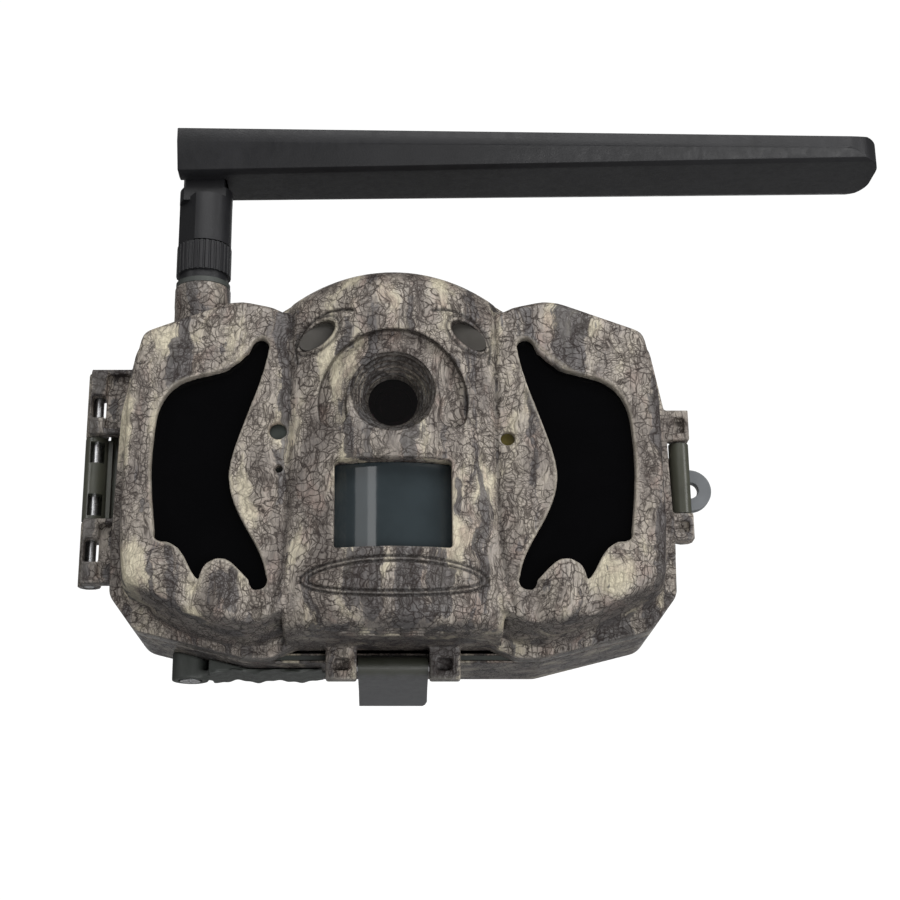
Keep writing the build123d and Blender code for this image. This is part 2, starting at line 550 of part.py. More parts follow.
def make_tray():
    bottom = CELL_MID_Z - TRAY_HALF_Z
    top = CELL_MID_Z + TRAY_HALF_Z
    tray = box(-TRAY_HALF_X, TRAY_HALF_X, TRAY_Y[0], TRAY_Y[1], bottom, top)
    for side in (-1, 1):
        low = side * COLUMN_X - POCKET / 2
        high = side * COLUMN_X + POCKET / 2
        for z in CELL_HEIGHTS:
            tray -= rod("X", CELL_R + 0.1, CELL_Y, z, low, high)
            tray -= box(low, high, TRAY_Y[0] - 1, CELL_Y, z - CELL_R - 0.1, z + CELL_R + 0.1)
    return tray + box(-8.0, 8.0, PAD_BACK_Y, -22.0, top - 0.6, top + 5.8)


def make_cell(x, z, sense):
    body = rod("X", CELL_R, CELL_Y, z, x - CELL_LEN / 2 + 0.8, x + CELL_LEN / 2 - 0.8)
    nub_end = x + sense * CELL_LEN / 2
    return body + rod("X", 2.7, CELL_Y, z, min(nub_end, x), max(nub_end, x))


def make_spring(x, z, sense):
    """A conical contact spring, squeezed between a cell's flat end and the tray's wall."""
    far = x - sense * POCKET / 2
    near = x - sense * (CELL_LEN / 2 - 0.8)
    wall_side = far + sense * 0.5
    coils = []
    for k in range(3):
        place = wall_side + (near - wall_side) * (k + 0.5) / 3
        coils.append(Pos(place, CELL_Y, z) * Rot(0, 90, 0) * Torus(4.6 - 0.8 * k, 0.42))
    plate = box(min(far, wall_side), max(far, wall_side), CELL_Y - 5.0, CELL_Y + 5.0, z - 5.0, z + 5.0)
    return plate, coils


# ---- build --------------------------------------------------------------------------------
os.makedirs("parts", exist_ok=True)

add("front_housing", make_front_housing())
add("rear_housing", make_rear_housing())
add("case_gasket", slab(gasket_ring(), PARTING_Y + 1.5, PARTING_Y - 0.15))
add("hinge_leaf", make_hinge_leaf())
add("hinge_pin", rod("Z", HINGE_PIN_R, HINGE_X, HINGE_Y, -30.4, 25.4))
LEAF_SCREW_SOLIDS = [
    rod("X", 2.2, y, z, -74.2, -72.4) - box(-75, -73.4, y - 0.35, y + 0.35, z - 1.6, z + 1.6)
    + rod("X", 1.2, y, z, -72.4, -66.8)
    for y, z in LEAF_SCREWS
]
add("hinge_leaf_screws", *LEAF_SCREW_SOLIDS)
add("lock_eye", make_lock_eye())
add("strap_bracket", make_bracket())
add("bracket_screws", *[screw("Y", 2.8, 1.8, 1.5, 8.8, (x, 0.0, z)) for x, z in BRACKET_SCREWS])
SOCKET = rod("Y", INSERT_R, 0, 0, -INSERT_LEN, 0) - rod("Y", TRIPOD_R, 0, 0, -9.0, 1)
add("tripod_insert", SOCKET)

# batteries
add("battery_tray", make_tray())
CELLS = []
SPRING_PLATES = []
SPRING_COILS = []
CONTACTS = []
for side in (-1, 1):
    for row, height in enumerate(CELL_HEIGHTS):
        sense = 1 if (row + (side > 0)) % 2 else -1
        cell_x = side * COLUMN_X
        CELLS.append(make_cell(cell_x, height, sense))
        plate, coils = make_spring(cell_x, height, sense)
        SPRING_PLATES.append(plate)
        SPRING_COILS += coils
        end = cell_x + sense * CELL_LEN / 2
        wall = cell_x + sense * POCKET / 2
        CONTACTS.append(box(min(end, wall), max(end, wall), CELL_Y - 5, CELL_Y + 5, height - 5, height + 5))
add("battery_cells", *CELLS)
add("battery_terminals", *(SPRING_PLATES + CONTACTS + SPRING_COILS))
PADS = [box(x - 2.4, x + 2.4, PAD_BACK_Y - 0.3, PAD_BACK_Y, PIN_Z - 2.2, PIN_Z + 2.2) for x in PIN_XS]
add("power_contact_pads", *PADS)

# ports under the rear housing
JACK = box(JACK_X - 4.5, JACK_X + 4.5, JACK_Y - 5, JACK_Y + 5, -46.6, -36.5)
JACK -= rod("Z", 3.2, JACK_X, JACK_Y, -48, -38.5)
JACK += rod("Z", 1.0, JACK_X, JACK_Y, -45.0, -38.0)
add("dc_jack", JACK)
USB_SHELL = box(USB_X - 4, USB_X + 4, JACK_Y - 1.9, JACK_Y + 1.9, -46.6, -40.5)
USB_SHELL -= box(USB_X - 3.4, USB_X + 3.4, JACK_Y - 1.4, JACK_Y + 1.4, -48, -41.3)
USB_SHELL += box(USB_X - 2.9, USB_X + 2.9, JACK_Y - 0.4, JACK_Y + 0.4, -46.2, -41.0)
add("usb_socket", USB_SHELL)
FLAP_LOW = -51.0
CASE_CORE = slab(REAR_OUTLINE, -8.0, PARTING_Y - 2)
ANCHOR = rod("Z", 4.6, COVER_SCREW[0], COVER_SCREW[1], -51.6, -44.0) - CASE_CORE
ANCHOR -= rod("Z", 3.0, COVER_SCREW[0], COVER_SCREW[1], -54, SCREW_SEAT_Z)
ANCHOR -= rod("Z", 1.3, COVER_SCREW[0], COVER_SCREW[1], -54, -43)
add("port_cover_anchor", ANCHOR)
FLAP = box(-45.8, -17.6, -27.0, -13.5, FLAP_LOW, -46.0)
FLAP += box(-17.8, -16.6, -23.0, -18.0, FLAP_LOW, FLAP_LOW + 1.2)
FLAP -= slab(offset(REAR_OUTLINE, 0.25), -8.0, PARTING_Y - 2)
for port_x in (JACK_X, USB_X):
    FLAP += rod("Z", 3.3, port_x, JACK_Y, -50.0, -48.0)
add("port_cover_flap", FLAP)
add("port_cover_screw", screw("Z", 2.6, 1.5, 1.3, 10.0, (COVER_SCREW[0], COVER_SCREW[1], SCREW_SEAT_Z)))

# front: windows and optics
IR_PLATE = slab(
    polygon([(28.6, 27.8), (34.5, 27.8), (59.0, 16.5), (59.6, -26.0), (46.0, -37.8), (28.4, -38.2),
             (28.6, -29.0), (34.0, -14.0), (34.0, 4.0), (28.8, 19.0)], [1.0] * 10),
    WING_Y + WALL + 1.6, WING_Y + WALL)
add("ir_windows", IR_PLATE, mirrored(IR_PLATE))
BOARD_OUTLINE = polygon(
    [(34.5, 20.0), (44.0, 15.0), (55.0, 9.0), (56.5, -22.0), (44.0, -29.0), (34.0, -29.0), (41.5, -10.0)],
    [2, 2, 2, 2, 2, 2, 2])
LED_BOARD = slab(BOARD_OUTLINE, -47.0, -48.6)
add("ir_led_boards", LED_BOARD, mirrored(LED_BOARD))
LED_SPOTS = [(43.5 + 4.2 * (k % 3), -24.0 + 4.6 * (k // 3)) for k in range(24)]
LED_SPOTS = [(x, z) for x, z in LED_SPOTS if z < 16.0 - (x - 43.5) * 0.55 and x < 55.0]
LEDS = [rod("Y", 1.5, x, z, -51.4, -48.6) + Pos(x, -51.4, z) * Sphere(1.5) for x, z in LED_SPOTS]
add("ir_leds", *LEDS, *[mirrored(led) for led in LEDS])
PIR_FRONT = rod("Z", 34.0, 0, -60.0 + 34.0, PIR_LOW + 0.6, PIR_HIGH - 0.2)
PIR_FRONT -= rod("Z", 33.0, 0, -60.0 + 34.0, -50, 50)
PIR_FRONT &= box(-PIR_HALF, PIR_HALF, -62, -50, -50, 50)
add("pir_window", PIR_FRONT)
PIR_SENSOR = rod("Y", 4.6, 0, -17.0, -48.6, -44.4) + rod("Y", 5.2, 0, -17.0, -44.4, -43.4)
PIR_SENSOR -= box(-2.0, 2.0, -49, -48.1, -18.5, -15.5)
add("pir_sensor", PIR_SENSOR + box(-8, 8, -43.4, -42.0, -25, -9))
add("lens_window", rod("Y", 8.2, 0, LENS_Z, CONE_THROAT_Y, -53.2))
BARREL = rod("Y", 7.0, 0, LENS_Z, -53.0, -49.0) - rod("Y", 4.6, 0, LENS_Z, -54.0, -50.6)
add("lens_barrel", BARREL - rod("Y", 3.0, 0, LENS_Z, -51.0, -48.0))
LENS_DISC = rod("Y", 4.6, 0, LENS_Z, -52.8, -50.6)
add("lens_element", fillet(LENS_DISC.edges().sort_by(Axis.Y)[0], 1.7))
IR_CUT = box(-11, 11, -49.0, -45.2, LENS_Z - 8.5, LENS_Z + 8.5) - rod("Y", 3.0, 0, LENS_Z, -50, -44)
add("ir_cut_filter", IR_CUT)
SENSOR = box(-11, 11, -43.6, BOARD_Y[0], LENS_Z - 9, LENS_Z + 9)
SENSOR += box(-4, 4, -45.2, -43.6, LENS_Z - 3.5, LENS_Z + 3.5)
add("image_sensor", SENSOR)
EYE_PLATE = slab(eye_shape(0), -57.5, -59.0)
add("eye_windows", EYE_PLATE, mirrored(EYE_PLATE))
LIGHT_X, LIGHT_Z, LIGHT_R = SENSOR_HOLES["light"]
add("light_sensor_window", rod("Y", LIGHT_R, LIGHT_X, LIGHT_Z, -55.4, -53.0))
MIC_X, MIC_Z, _ = SENSOR_HOLES["mic"]
add("microphone", rod("Y", 2.6, MIC_X, MIC_Z, WING_Y + WALL, -51.0))
LED_X, LED_Z, LED_R = SENSOR_HOLES["led"]
add("status_led", rod("Y", LED_R, LED_X, LED_Z, -55.4, -51.0))
SPEAKER = rod("Z", 8.0, 0, -50.5, -43.5, -39.5) - rod("Z", 6.5, 0, -50.5, -44.0, -43.0)
add("speaker", SPEAKER)

# front: inner panel, boards and controls
PANEL_SHAPE = offset(FRONT_OUTLINE, -WALL - 0.2)
PANEL = slab(PANEL_SHAPE, PANEL_BACK_Y, PANEL_FRONT_Y)
LCD_BOX = (-34.0, 6.0, -12.0, 19.0)
PANEL -= box(LCD_BOX[0] + 2, LCD_BOX[1] - 2, -38, -34, LCD_BOX[2] + 2, LCD_BOX[3] - 2)
KEYS = {
    "key_up": (KEY_X, KEY_Z + KEY_PITCH), "key_down": (KEY_X, KEY_Z - KEY_PITCH),
    "key_left": (KEY_X - KEY_PITCH, KEY_Z), "key_right": (KEY_X + KEY_PITCH, KEY_Z),
    "key_ok": (KEY_X, KEY_Z), "key_shutter": (KEY_X, KEY_Z + 2 * KEY_PITCH + 1.5),
}
for x, z in KEYS.values():
    PANEL -= rod("Y", KEY_R + 0.25, x, z, -38, -34)
SWITCH = (33.0, -24.0)
PANEL -= box(SWITCH[0] - 6.6, SWITCH[0] + 6.6, -38, -34, SWITCH[1] - 1.8, SWITCH[1] + 1.8)
SD_MOUTH_X = -8.0
SD_Z = -25.3
PANEL -= box(SD_MOUTH_X, SD_MOUTH_X + 13.0, -38, -34, SD_Z - 12.5, SD_Z + 12.5)
SIM = (-44.0, 2.0)
PANEL -= box(SIM[0] - 8.0, SIM[0] + 8.0, -38, -34, SIM[1] - 9.0, SIM[1] + 9.0)
for x, z in PANEL_POSTS:
    PANEL -= rod("Y", POST_BORE_R, x, z, -38, -34)
for x in PIN_XS:
    PANEL -= rod("Y", 1.2, x, PIN_Z, -38, -34)
BOARD_POSTS = [(-44.0, -30.0), (46.0, -30.0), (-44.0, 26.0), (46.0, 26.0)]
for x, z in BOARD_POSTS:
    PANEL += rod("Y", 2.4, x, z, BOARD_Y[1], PANEL_FRONT_Y)
    PANEL -= rod("Y", 0.9, x, z, BOARD_Y[1] - 1, PANEL_FRONT_Y)
add("inner_panel", PANEL)
BOARD = box(-52, 52, BOARD_Y[0], BOARD_Y[1], -38.5, 30.4)
for x, z in BOARD_POSTS:
    BOARD -= rod("Y", 0.9, x, z, -43, -40)
for x, z, w, h in ((-30, 24, 12, 8), (18, -20, 10, 10), (-20, -27, 14, 6), (26, 24, 8, 8)):
    BOARD += box(x - w / 2, x + w / 2, -43.4, BOARD_Y[0], z - h / 2, z + h / 2)
for x, z in KEYS.values():
    BOARD += rod("Y", 2.4, x, z, BOARD_Y[1], -39.4)
COAX_TOP = 38.0
COAX_END = (-43.0, -44.6, 16.0)
BOARD += box(COAX_END[0] - 1.5, COAX_END[0] + 1.5, -45.4, BOARD_Y[0], COAX_END[2] - 3.4, COAX_END[2] - 0.4)
add("main_board", BOARD)
BOARD_SCREWS = [
    rod("Y", 1.8, x, z, -43.2, BOARD_Y[0]) + rod("Y", 0.9, x, z, BOARD_Y[0], -37.6) for x, z in BOARD_POSTS]
PANEL_SCREWS = [screw("Y", 2.0, 1.2, POST_BORE_R, 11.0, (x, PANEL_BACK_Y, z)) for x, z in PANEL_POSTS]
add("panel_screws", *PANEL_SCREWS, *BOARD_SCREWS)
add("lcd_display", box(LCD_BOX[0], LCD_BOX[1], BOARD_Y[1], -37.4, LCD_BOX[2], LCD_BOX[3]))
LCD_GLASS = box(LCD_BOX[0] + 2.1, LCD_BOX[1] - 2.1, -37.2, -35.3, LCD_BOX[2] + 2.1, LCD_BOX[3] - 2.1)
add("lcd_window", LCD_GLASS)
for name, (x, z) in KEYS.items():
    CAP = rod("Y", KEY_R, x, z, -38.0, -33.9) + rod("Y", KEY_R + 0.9, x, z, -38.6, -37.5)
    add(name, fillet(CAP.edges().sort_by(Axis.Y)[-1], 0.5))
SWITCH_BODY = box(SWITCH[0] - 8, SWITCH[0] + 8, BOARD_Y[1], -37.8, SWITCH[1] - 3.5, SWITCH[1] + 3.5)
SWITCH_BODY -= box(SWITCH[0] - 6.2, SWITCH[0] + 6.2, -38.8, -37, SWITCH[1] - 1.5, SWITCH[1] + 1.5)
add("mode_switch_body", SWITCH_BODY)
SWITCH_CAP = box(SWITCH[0] - 2, SWITCH[0] + 2, -38.6, -34.0, SWITCH[1] - 1.4, SWITCH[1] + 1.4)
for k in (-1, 0, 1):
    SWITCH_CAP -= box(SWITCH[0] + k - 0.2, SWITCH[0] + k + 0.2, -34.4, -33.5, SWITCH[1] - 2, SWITCH[1] + 2)
add("mode_switch_slider", SWITCH_CAP)
SD_SOCKET = box(SD_MOUTH_X - 28, SD_MOUTH_X, BOARD_Y[1], -37.3, SD_Z - 13.0, SD_Z + 13.0)
SD_SOCKET -= box(SD_MOUTH_X - 27.2, SD_MOUTH_X + 1, -39.95, -37.65, SD_Z - 12.1, SD_Z + 12.1)
SIM_SOCKET = box(SIM[0] - 7.5, SIM[0] + 7.5, BOARD_Y[1], -38.6, SIM[1] - 8.5, SIM[1] + 8.5)
add("card_sockets", SD_SOCKET, SIM_SOCKET)
SD_CARD = box(SD_MOUTH_X - 27, SD_MOUTH_X + 4, -39.85, -37.75, SD_Z - 12, SD_Z + 12)
SD_CARD -= box(SD_MOUTH_X + 2.6, SD_MOUTH_X + 3.2, -38.1, -37.0, SD_Z - 8, SD_Z + 8)
add("sd_card", SD_CARD)
add("power_contact_pins", *[rod("Y", 1.2, x, PIN_Z, BOARD_Y[1], -32.0) for x in PIN_XS])

# antenna and latches
CONNECTOR = tube("Z", 3.3, 1.0, ANT_X, ANT_Y, COAX_TOP, 52.3) + tube("Z", 5.0, 3.0, ANT_X, ANT_Y, 39.6, 42.1)
add("antenna_connector", CONNECTOR)
COAX_PATH = FilletPolyline(
    (ANT_X, ANT_Y, COAX_TOP), (ANT_X, ANT_Y - 1.2, 32.0), (-46.0, -46.0, 25.0), COAX_END, radius=[6.0, 6.0])
COAX_START = Plane(origin=COAX_PATH @ 0, z_dir=COAX_PATH % 0)
add("antenna_coax", sweep(COAX_START * Circle(0.6), path=COAX_PATH))
add("antenna_seal", tube("Z", 6.9, 3.3, ANT_X, ANT_Y, NECK_TOP, 46.4))
add("antenna_nut", make_antenna_nut())
add("antenna_swivel", make_antenna_swivel())
add("antenna_blade", make_antenna_blade())
add("antenna_pivot_pin", rod("Y", 1.5, ANT_X, FOLD_Z, ANT_Y - PIVOT_HALF, ANT_Y + PIVOT_HALF))
add("side_latch", make_side_latch())
add("bottom_latch", make_bottom_latch())
SIDE_PIN = rod("Z", LATCH_PIN_R, SIDE_PIN_X, SIDE_PIN_Y, -18.6, 13.0)
BOTTOM_PIN = rod("X", LATCH_PIN_R, BOTTOM_PIN_Y, BOTTOM_PIN_Z, -15.2, 15.2)
add("latch_pins", SIDE_PIN, BOTTOM_PIN)

for name, shape in NODES.items():
    export_step(shape, f"parts/{name}.step")
print(len(NODES), "nodes")
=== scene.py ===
import json
import math

import bmesh
import bpy
import numpy as np
from mathutils import Matrix, Vector

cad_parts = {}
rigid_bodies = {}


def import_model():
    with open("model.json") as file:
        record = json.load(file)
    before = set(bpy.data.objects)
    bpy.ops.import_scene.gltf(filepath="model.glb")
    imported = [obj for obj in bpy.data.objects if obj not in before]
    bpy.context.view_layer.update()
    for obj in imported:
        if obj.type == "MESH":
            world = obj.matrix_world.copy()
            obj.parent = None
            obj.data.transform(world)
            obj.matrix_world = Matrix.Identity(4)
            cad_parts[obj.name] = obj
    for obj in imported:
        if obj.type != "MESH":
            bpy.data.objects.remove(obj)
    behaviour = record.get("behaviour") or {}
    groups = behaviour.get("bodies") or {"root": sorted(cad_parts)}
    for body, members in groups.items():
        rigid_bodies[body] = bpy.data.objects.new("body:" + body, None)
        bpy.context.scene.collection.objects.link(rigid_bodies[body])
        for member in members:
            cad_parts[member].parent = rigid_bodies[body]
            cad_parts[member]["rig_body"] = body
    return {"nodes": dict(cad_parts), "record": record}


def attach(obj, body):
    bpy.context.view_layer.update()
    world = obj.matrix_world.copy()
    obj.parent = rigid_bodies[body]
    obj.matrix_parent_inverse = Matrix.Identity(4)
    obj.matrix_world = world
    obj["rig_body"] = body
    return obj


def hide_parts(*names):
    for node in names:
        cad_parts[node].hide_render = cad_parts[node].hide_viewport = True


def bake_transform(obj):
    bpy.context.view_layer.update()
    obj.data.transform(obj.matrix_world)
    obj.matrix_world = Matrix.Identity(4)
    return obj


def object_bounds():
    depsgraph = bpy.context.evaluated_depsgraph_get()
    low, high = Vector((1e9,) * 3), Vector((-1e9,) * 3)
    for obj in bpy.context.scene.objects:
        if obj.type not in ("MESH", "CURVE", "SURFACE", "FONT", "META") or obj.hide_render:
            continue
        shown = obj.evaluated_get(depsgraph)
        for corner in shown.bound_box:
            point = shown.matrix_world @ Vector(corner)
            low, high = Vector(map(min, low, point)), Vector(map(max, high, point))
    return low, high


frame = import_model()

CAD_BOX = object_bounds()
MM = 0.001
SHARP_ANGLE = 32.0
NODES = frame["nodes"]
CAMERA_PLACE = (0.0, -0.4445, -0.1284)
CAMERA_TILT = 18.0
FOCAL_LENGTH = 68.0
FLOOR_Z = -0.60
FLOOR_HALF = 3
BACKDROP_Y = 1.3
BACKDROP_Z = (-0.2, 1.25)
BACKDROP_HALF = 0.62
BAND_REACH = 0.8
scene = bpy.context.scene


# ---- studio -------------------------------------------------------------------------------
def make_camera():
    data = bpy.data.cameras.new("photo_camera")
    data.sensor_width = 36.0
    data.lens = FOCAL_LENGTH
    data.shift_x = 0.0633
    data.clip_start = 0.01
    data.clip_end = 20.0
    camera = bpy.data.objects.new("photo_camera", data)
    camera.location = CAMERA_PLACE
    camera.rotation_euler = (math.radians(90.0 + CAMERA_TILT), 0.0, 0.0)
    scene.collection.objects.link(camera)
    scene.camera = camera


def softbox(name, place, aim, size, watts):
    data = bpy.data.lights.new(name, "AREA")
    data.shape = "RECTANGLE"
    data.size, data.size_y = size
    data.energy = watts
    lamp = bpy.data.objects.new(name, data)
    lamp.location = place
    lamp.rotation_euler = (Vector(aim) - Vector(place)).to_track_quat("-Z", "Y").to_euler()
    scene.collection.objects.link(lamp)


def plate(name, corners, mat):
    mesh = bpy.data.meshes.new(name)
    mesh.from_pydata(corners, [], [(0, 1, 2, 3)])
    mesh.materials.append(mat)
    obj = bpy.data.objects.new(name, mesh)
    scene.collection.objects.link(obj)


def make_studio():
    floor = plain_material("studio_floor", (0.62, 0.62, 0.62), 0.9)
    glow = bpy.data.materials.new("studio_wall")
    glow.use_nodes = True
    shader = glow.node_tree.nodes["Principled BSDF"]
    shader.inputs["Base Color"].default_value = (0, 0, 0, 1)
    shader.inputs["Emission Color"].default_value = (1, 1, 1, 1)
    shader.inputs["Emission Strength"].default_value = 1.02
    side, low = FLOOR_HALF, FLOOR_Z
    plate("floor", [(-side, -side, low), (side, -side, low), (side, side, low), (-side, side, low)], floor)
    side, back, (low, high) = BACKDROP_HALF, BACKDROP_Y, BACKDROP_Z
    plate("backdrop", [(-side, back, low), (side, back, low), (side, back, high), (-side, back, high)], glow)
    world = bpy.data.worlds.new("studio_air")
    world.use_nodes = True
    world.node_tree.nodes["Background"].inputs["Color"].default_value = (1, 1, 1, 1)
    world.node_tree.nodes["Background"].inputs["Strength"].default_value = 0.13
    scene.world = world
    softbox("key_light", (0.15, -0.75, 0.75), (0, -0.04, 0.0), (0.9, 0.5), 11.0)
    softbox("right_light", (0.75, -0.45, 0.05), (0.03, -0.04, 0), (0.25, 0.9), 4.2)
    softbox("left_light", (-0.75, -0.50, 0.15), (0, -0.04, 0), (0.14, 0.7), 2.4)
    softbox("low_light", (0.34, -0.68, -0.36), (0.02, -0.06, -0.035), (0.6, 0.25), 4.4)
    # two dim panels that only show as pale bands in the motion sensor's curved window
    for turn, width, watts in ((18.0, 0.10, 0.46), (27.0, 0.15, 0.34)):
        bearing = math.radians(turn)
        place = (-BAND_REACH * math.sin(bearing), -0.06 - BAND_REACH * math.cos(bearing), 0.20)
        softbox("band_light", place, (0, -0.06, -0.017), (width, 0.5), watts)
    scene.view_settings.view_transform = "Standard"


# ---- materials ----------------------------------------------------------------------------
def new_material(name):
    mat = bpy.data.materials.new(name)
    mat.use_nodes = True
    tree = mat.node_tree
    return mat, tree, tree.nodes["Principled BSDF"]


def link(tree, a, b):
    tree.links.new(a, b)


def node(tree, kind, **values):
    made = tree.nodes.new(kind)
    for key, value in values.items():
        if key in made.inputs:
            made.inputs[key].default_value = value
        else:
            setattr(made, key, value)
    return made


def plain_material(name, colour, rough):
    mat, tree, shader = new_material(name)
    shader.inputs["Base Color"].default_value = (*colour, 1)
    shader.inputs["Roughness"].default_value = rough
    return mat


def mm_coords(tree, stretch=(1, 1, 1)):
    """Object coordinates in millimetres, times stretch."""
    coords = node(tree, "ShaderNodeTexCoord")
    mapping = node(tree, "ShaderNodeMapping")
    mapping.inputs["Scale"].default_value = [1000.0 * s for s in stretch]
    link(tree, coords.outputs["Object"], mapping.inputs["Vector"])
    return mapping.outputs["Vector"]


def noise(tree, vector, scale, detail=4.0, rough=0.55, distortion=0.0):
    made = node(tree, "ShaderNodeTexNoise")
    made.inputs["Scale"].default_value = scale
    made.inputs["Detail"].default_value = detail
    made.inputs["Roughness"].default_value = rough
    made.inputs["Distortion"].default_value = distortion
    link(tree, vector, made.inputs["Vector"])
    return made.outputs["Fac"]


def ramp(tree, value, stops):
    made = node(tree, "ShaderNodeValToRGB")
    elements = made.color_ramp.elements
    while len(elements) < len(stops):
        elements.new(0.5)
    for element, (place, colour) in zip(elements, stops):
        element.position = place
        element.color = (*colour, 1) if len(colour) == 3 else colour
    link(tree, value, made.inputs["Fac"])
    return made.outputs["Color"]


def mix(tree, factor, a, b, mode="MIX"):
    made = node(tree, "ShaderNodeMix", data_type="RGBA", blend_type=mode)
    for value, socket in ((factor, made.inputs[0]), (a, made.inputs[6]), (b, made.inputs[7])):
        if isinstance(value, (int, float)):
            socket.default_value = value
        elif isinstance(value, tuple):
            socket.default_value = (*value, 1)
        else:
            link(tree, value, socket)
    return made.outputs[2]


def maths(tree, op, a, b=0.0):
    made = node(tree, "ShaderNodeMath", operation=op)
    for value, socket in ((a, made.inputs[0]), (b, made.inputs[1])):
        if isinstance(value, (int, float)):
            socket.default_value = value
        else:
            link(tree, value, socket)
    return made.outputs[0]


def bump(tree, shader, height, distance_mm, strength=1.0):
    made = node(tree, "ShaderNodeBump")
    made.inputs["Distance"].default_value = distance_mm * MM
    made.inputs["Strength"].default_value = strength
    link(tree, height, made.inputs["Height"])
    link(tree, made.outputs["Normal"], shader.inputs["Normal"])


def grey(v):
    return (v, v, v)


def moulded(name, colour, rough, grain=0.02, spread=0.25, coat=0.0, level=0.45):
    """Moulded plastic or rubber: a fine spark-eroded grain, slight mottling and handling marks."""
    mat, tree, shader = new_material(name)
    fine = noise(tree, mm_coords(tree), 2.2, 3.0)
    broad = noise(tree, mm_coords(tree), 0.06, 4.0)
    low = tuple(c * (1 - spread) for c in colour)
    high = tuple(min(1.0, c * (1 + spread)) for c in colour)
    link(tree, ramp(tree, broad, [(0.3, low), (0.7, high)]), shader.inputs["Base Color"])
    scuffs = noise(tree, mm_coords(tree, (1.0, 1.0, 0.25)), 0.5, 6.0, 0.7)
    rough_map = ramp(tree, scuffs, [(0.35, grey(rough * 0.82)), (0.65, grey(min(1.0, rough * 1.15)))])
    link(tree, rough_map, shader.inputs["Roughness"])
    shader.inputs["Coat Weight"].default_value = coat
    shader.inputs["Specular IOR Level"].default_value = level
    shader.inputs["Coat Roughness"].default_value = 0.12
    bump(tree, shader, fine, grain)
    return mat


def metal(name, colour, rough, grain=0.01):
    mat, tree, shader = new_material(name)
    shader.inputs["Metallic"].default_value = 1.0
    brushed = noise(tree, mm_coords(tree, (1, 1, 6)), 1.5, 4.0)
    low = tuple(c * 0.8 for c in colour)
    link(tree, ramp(tree, brushed, [(0.3, low), (0.7, colour)]), shader.inputs["Base Color"])
    rough_map = ramp(tree, brushed, [(0.3, grey(rough * 0.8)), (0.7, grey(rough * 1.3))])
    link(tree, rough_map, shader.inputs["Roughness"])
    bump(tree, shader, brushed, grain)
    return mat


# x, z and half sizes of the pale straw patches, in millimetres
STRAW = [(-57.0, 25.0, 8.0, 9.0), (-66.0, 6.0, 5.0, 14.0), (-62.0, -31.0, 7.0, 9.0), (45.0, 31.0, 7.0, 9.0),
         (50.0, -33.0, 8.0, 7.0), (14.0, 42.0, 5.0, 9.0)]


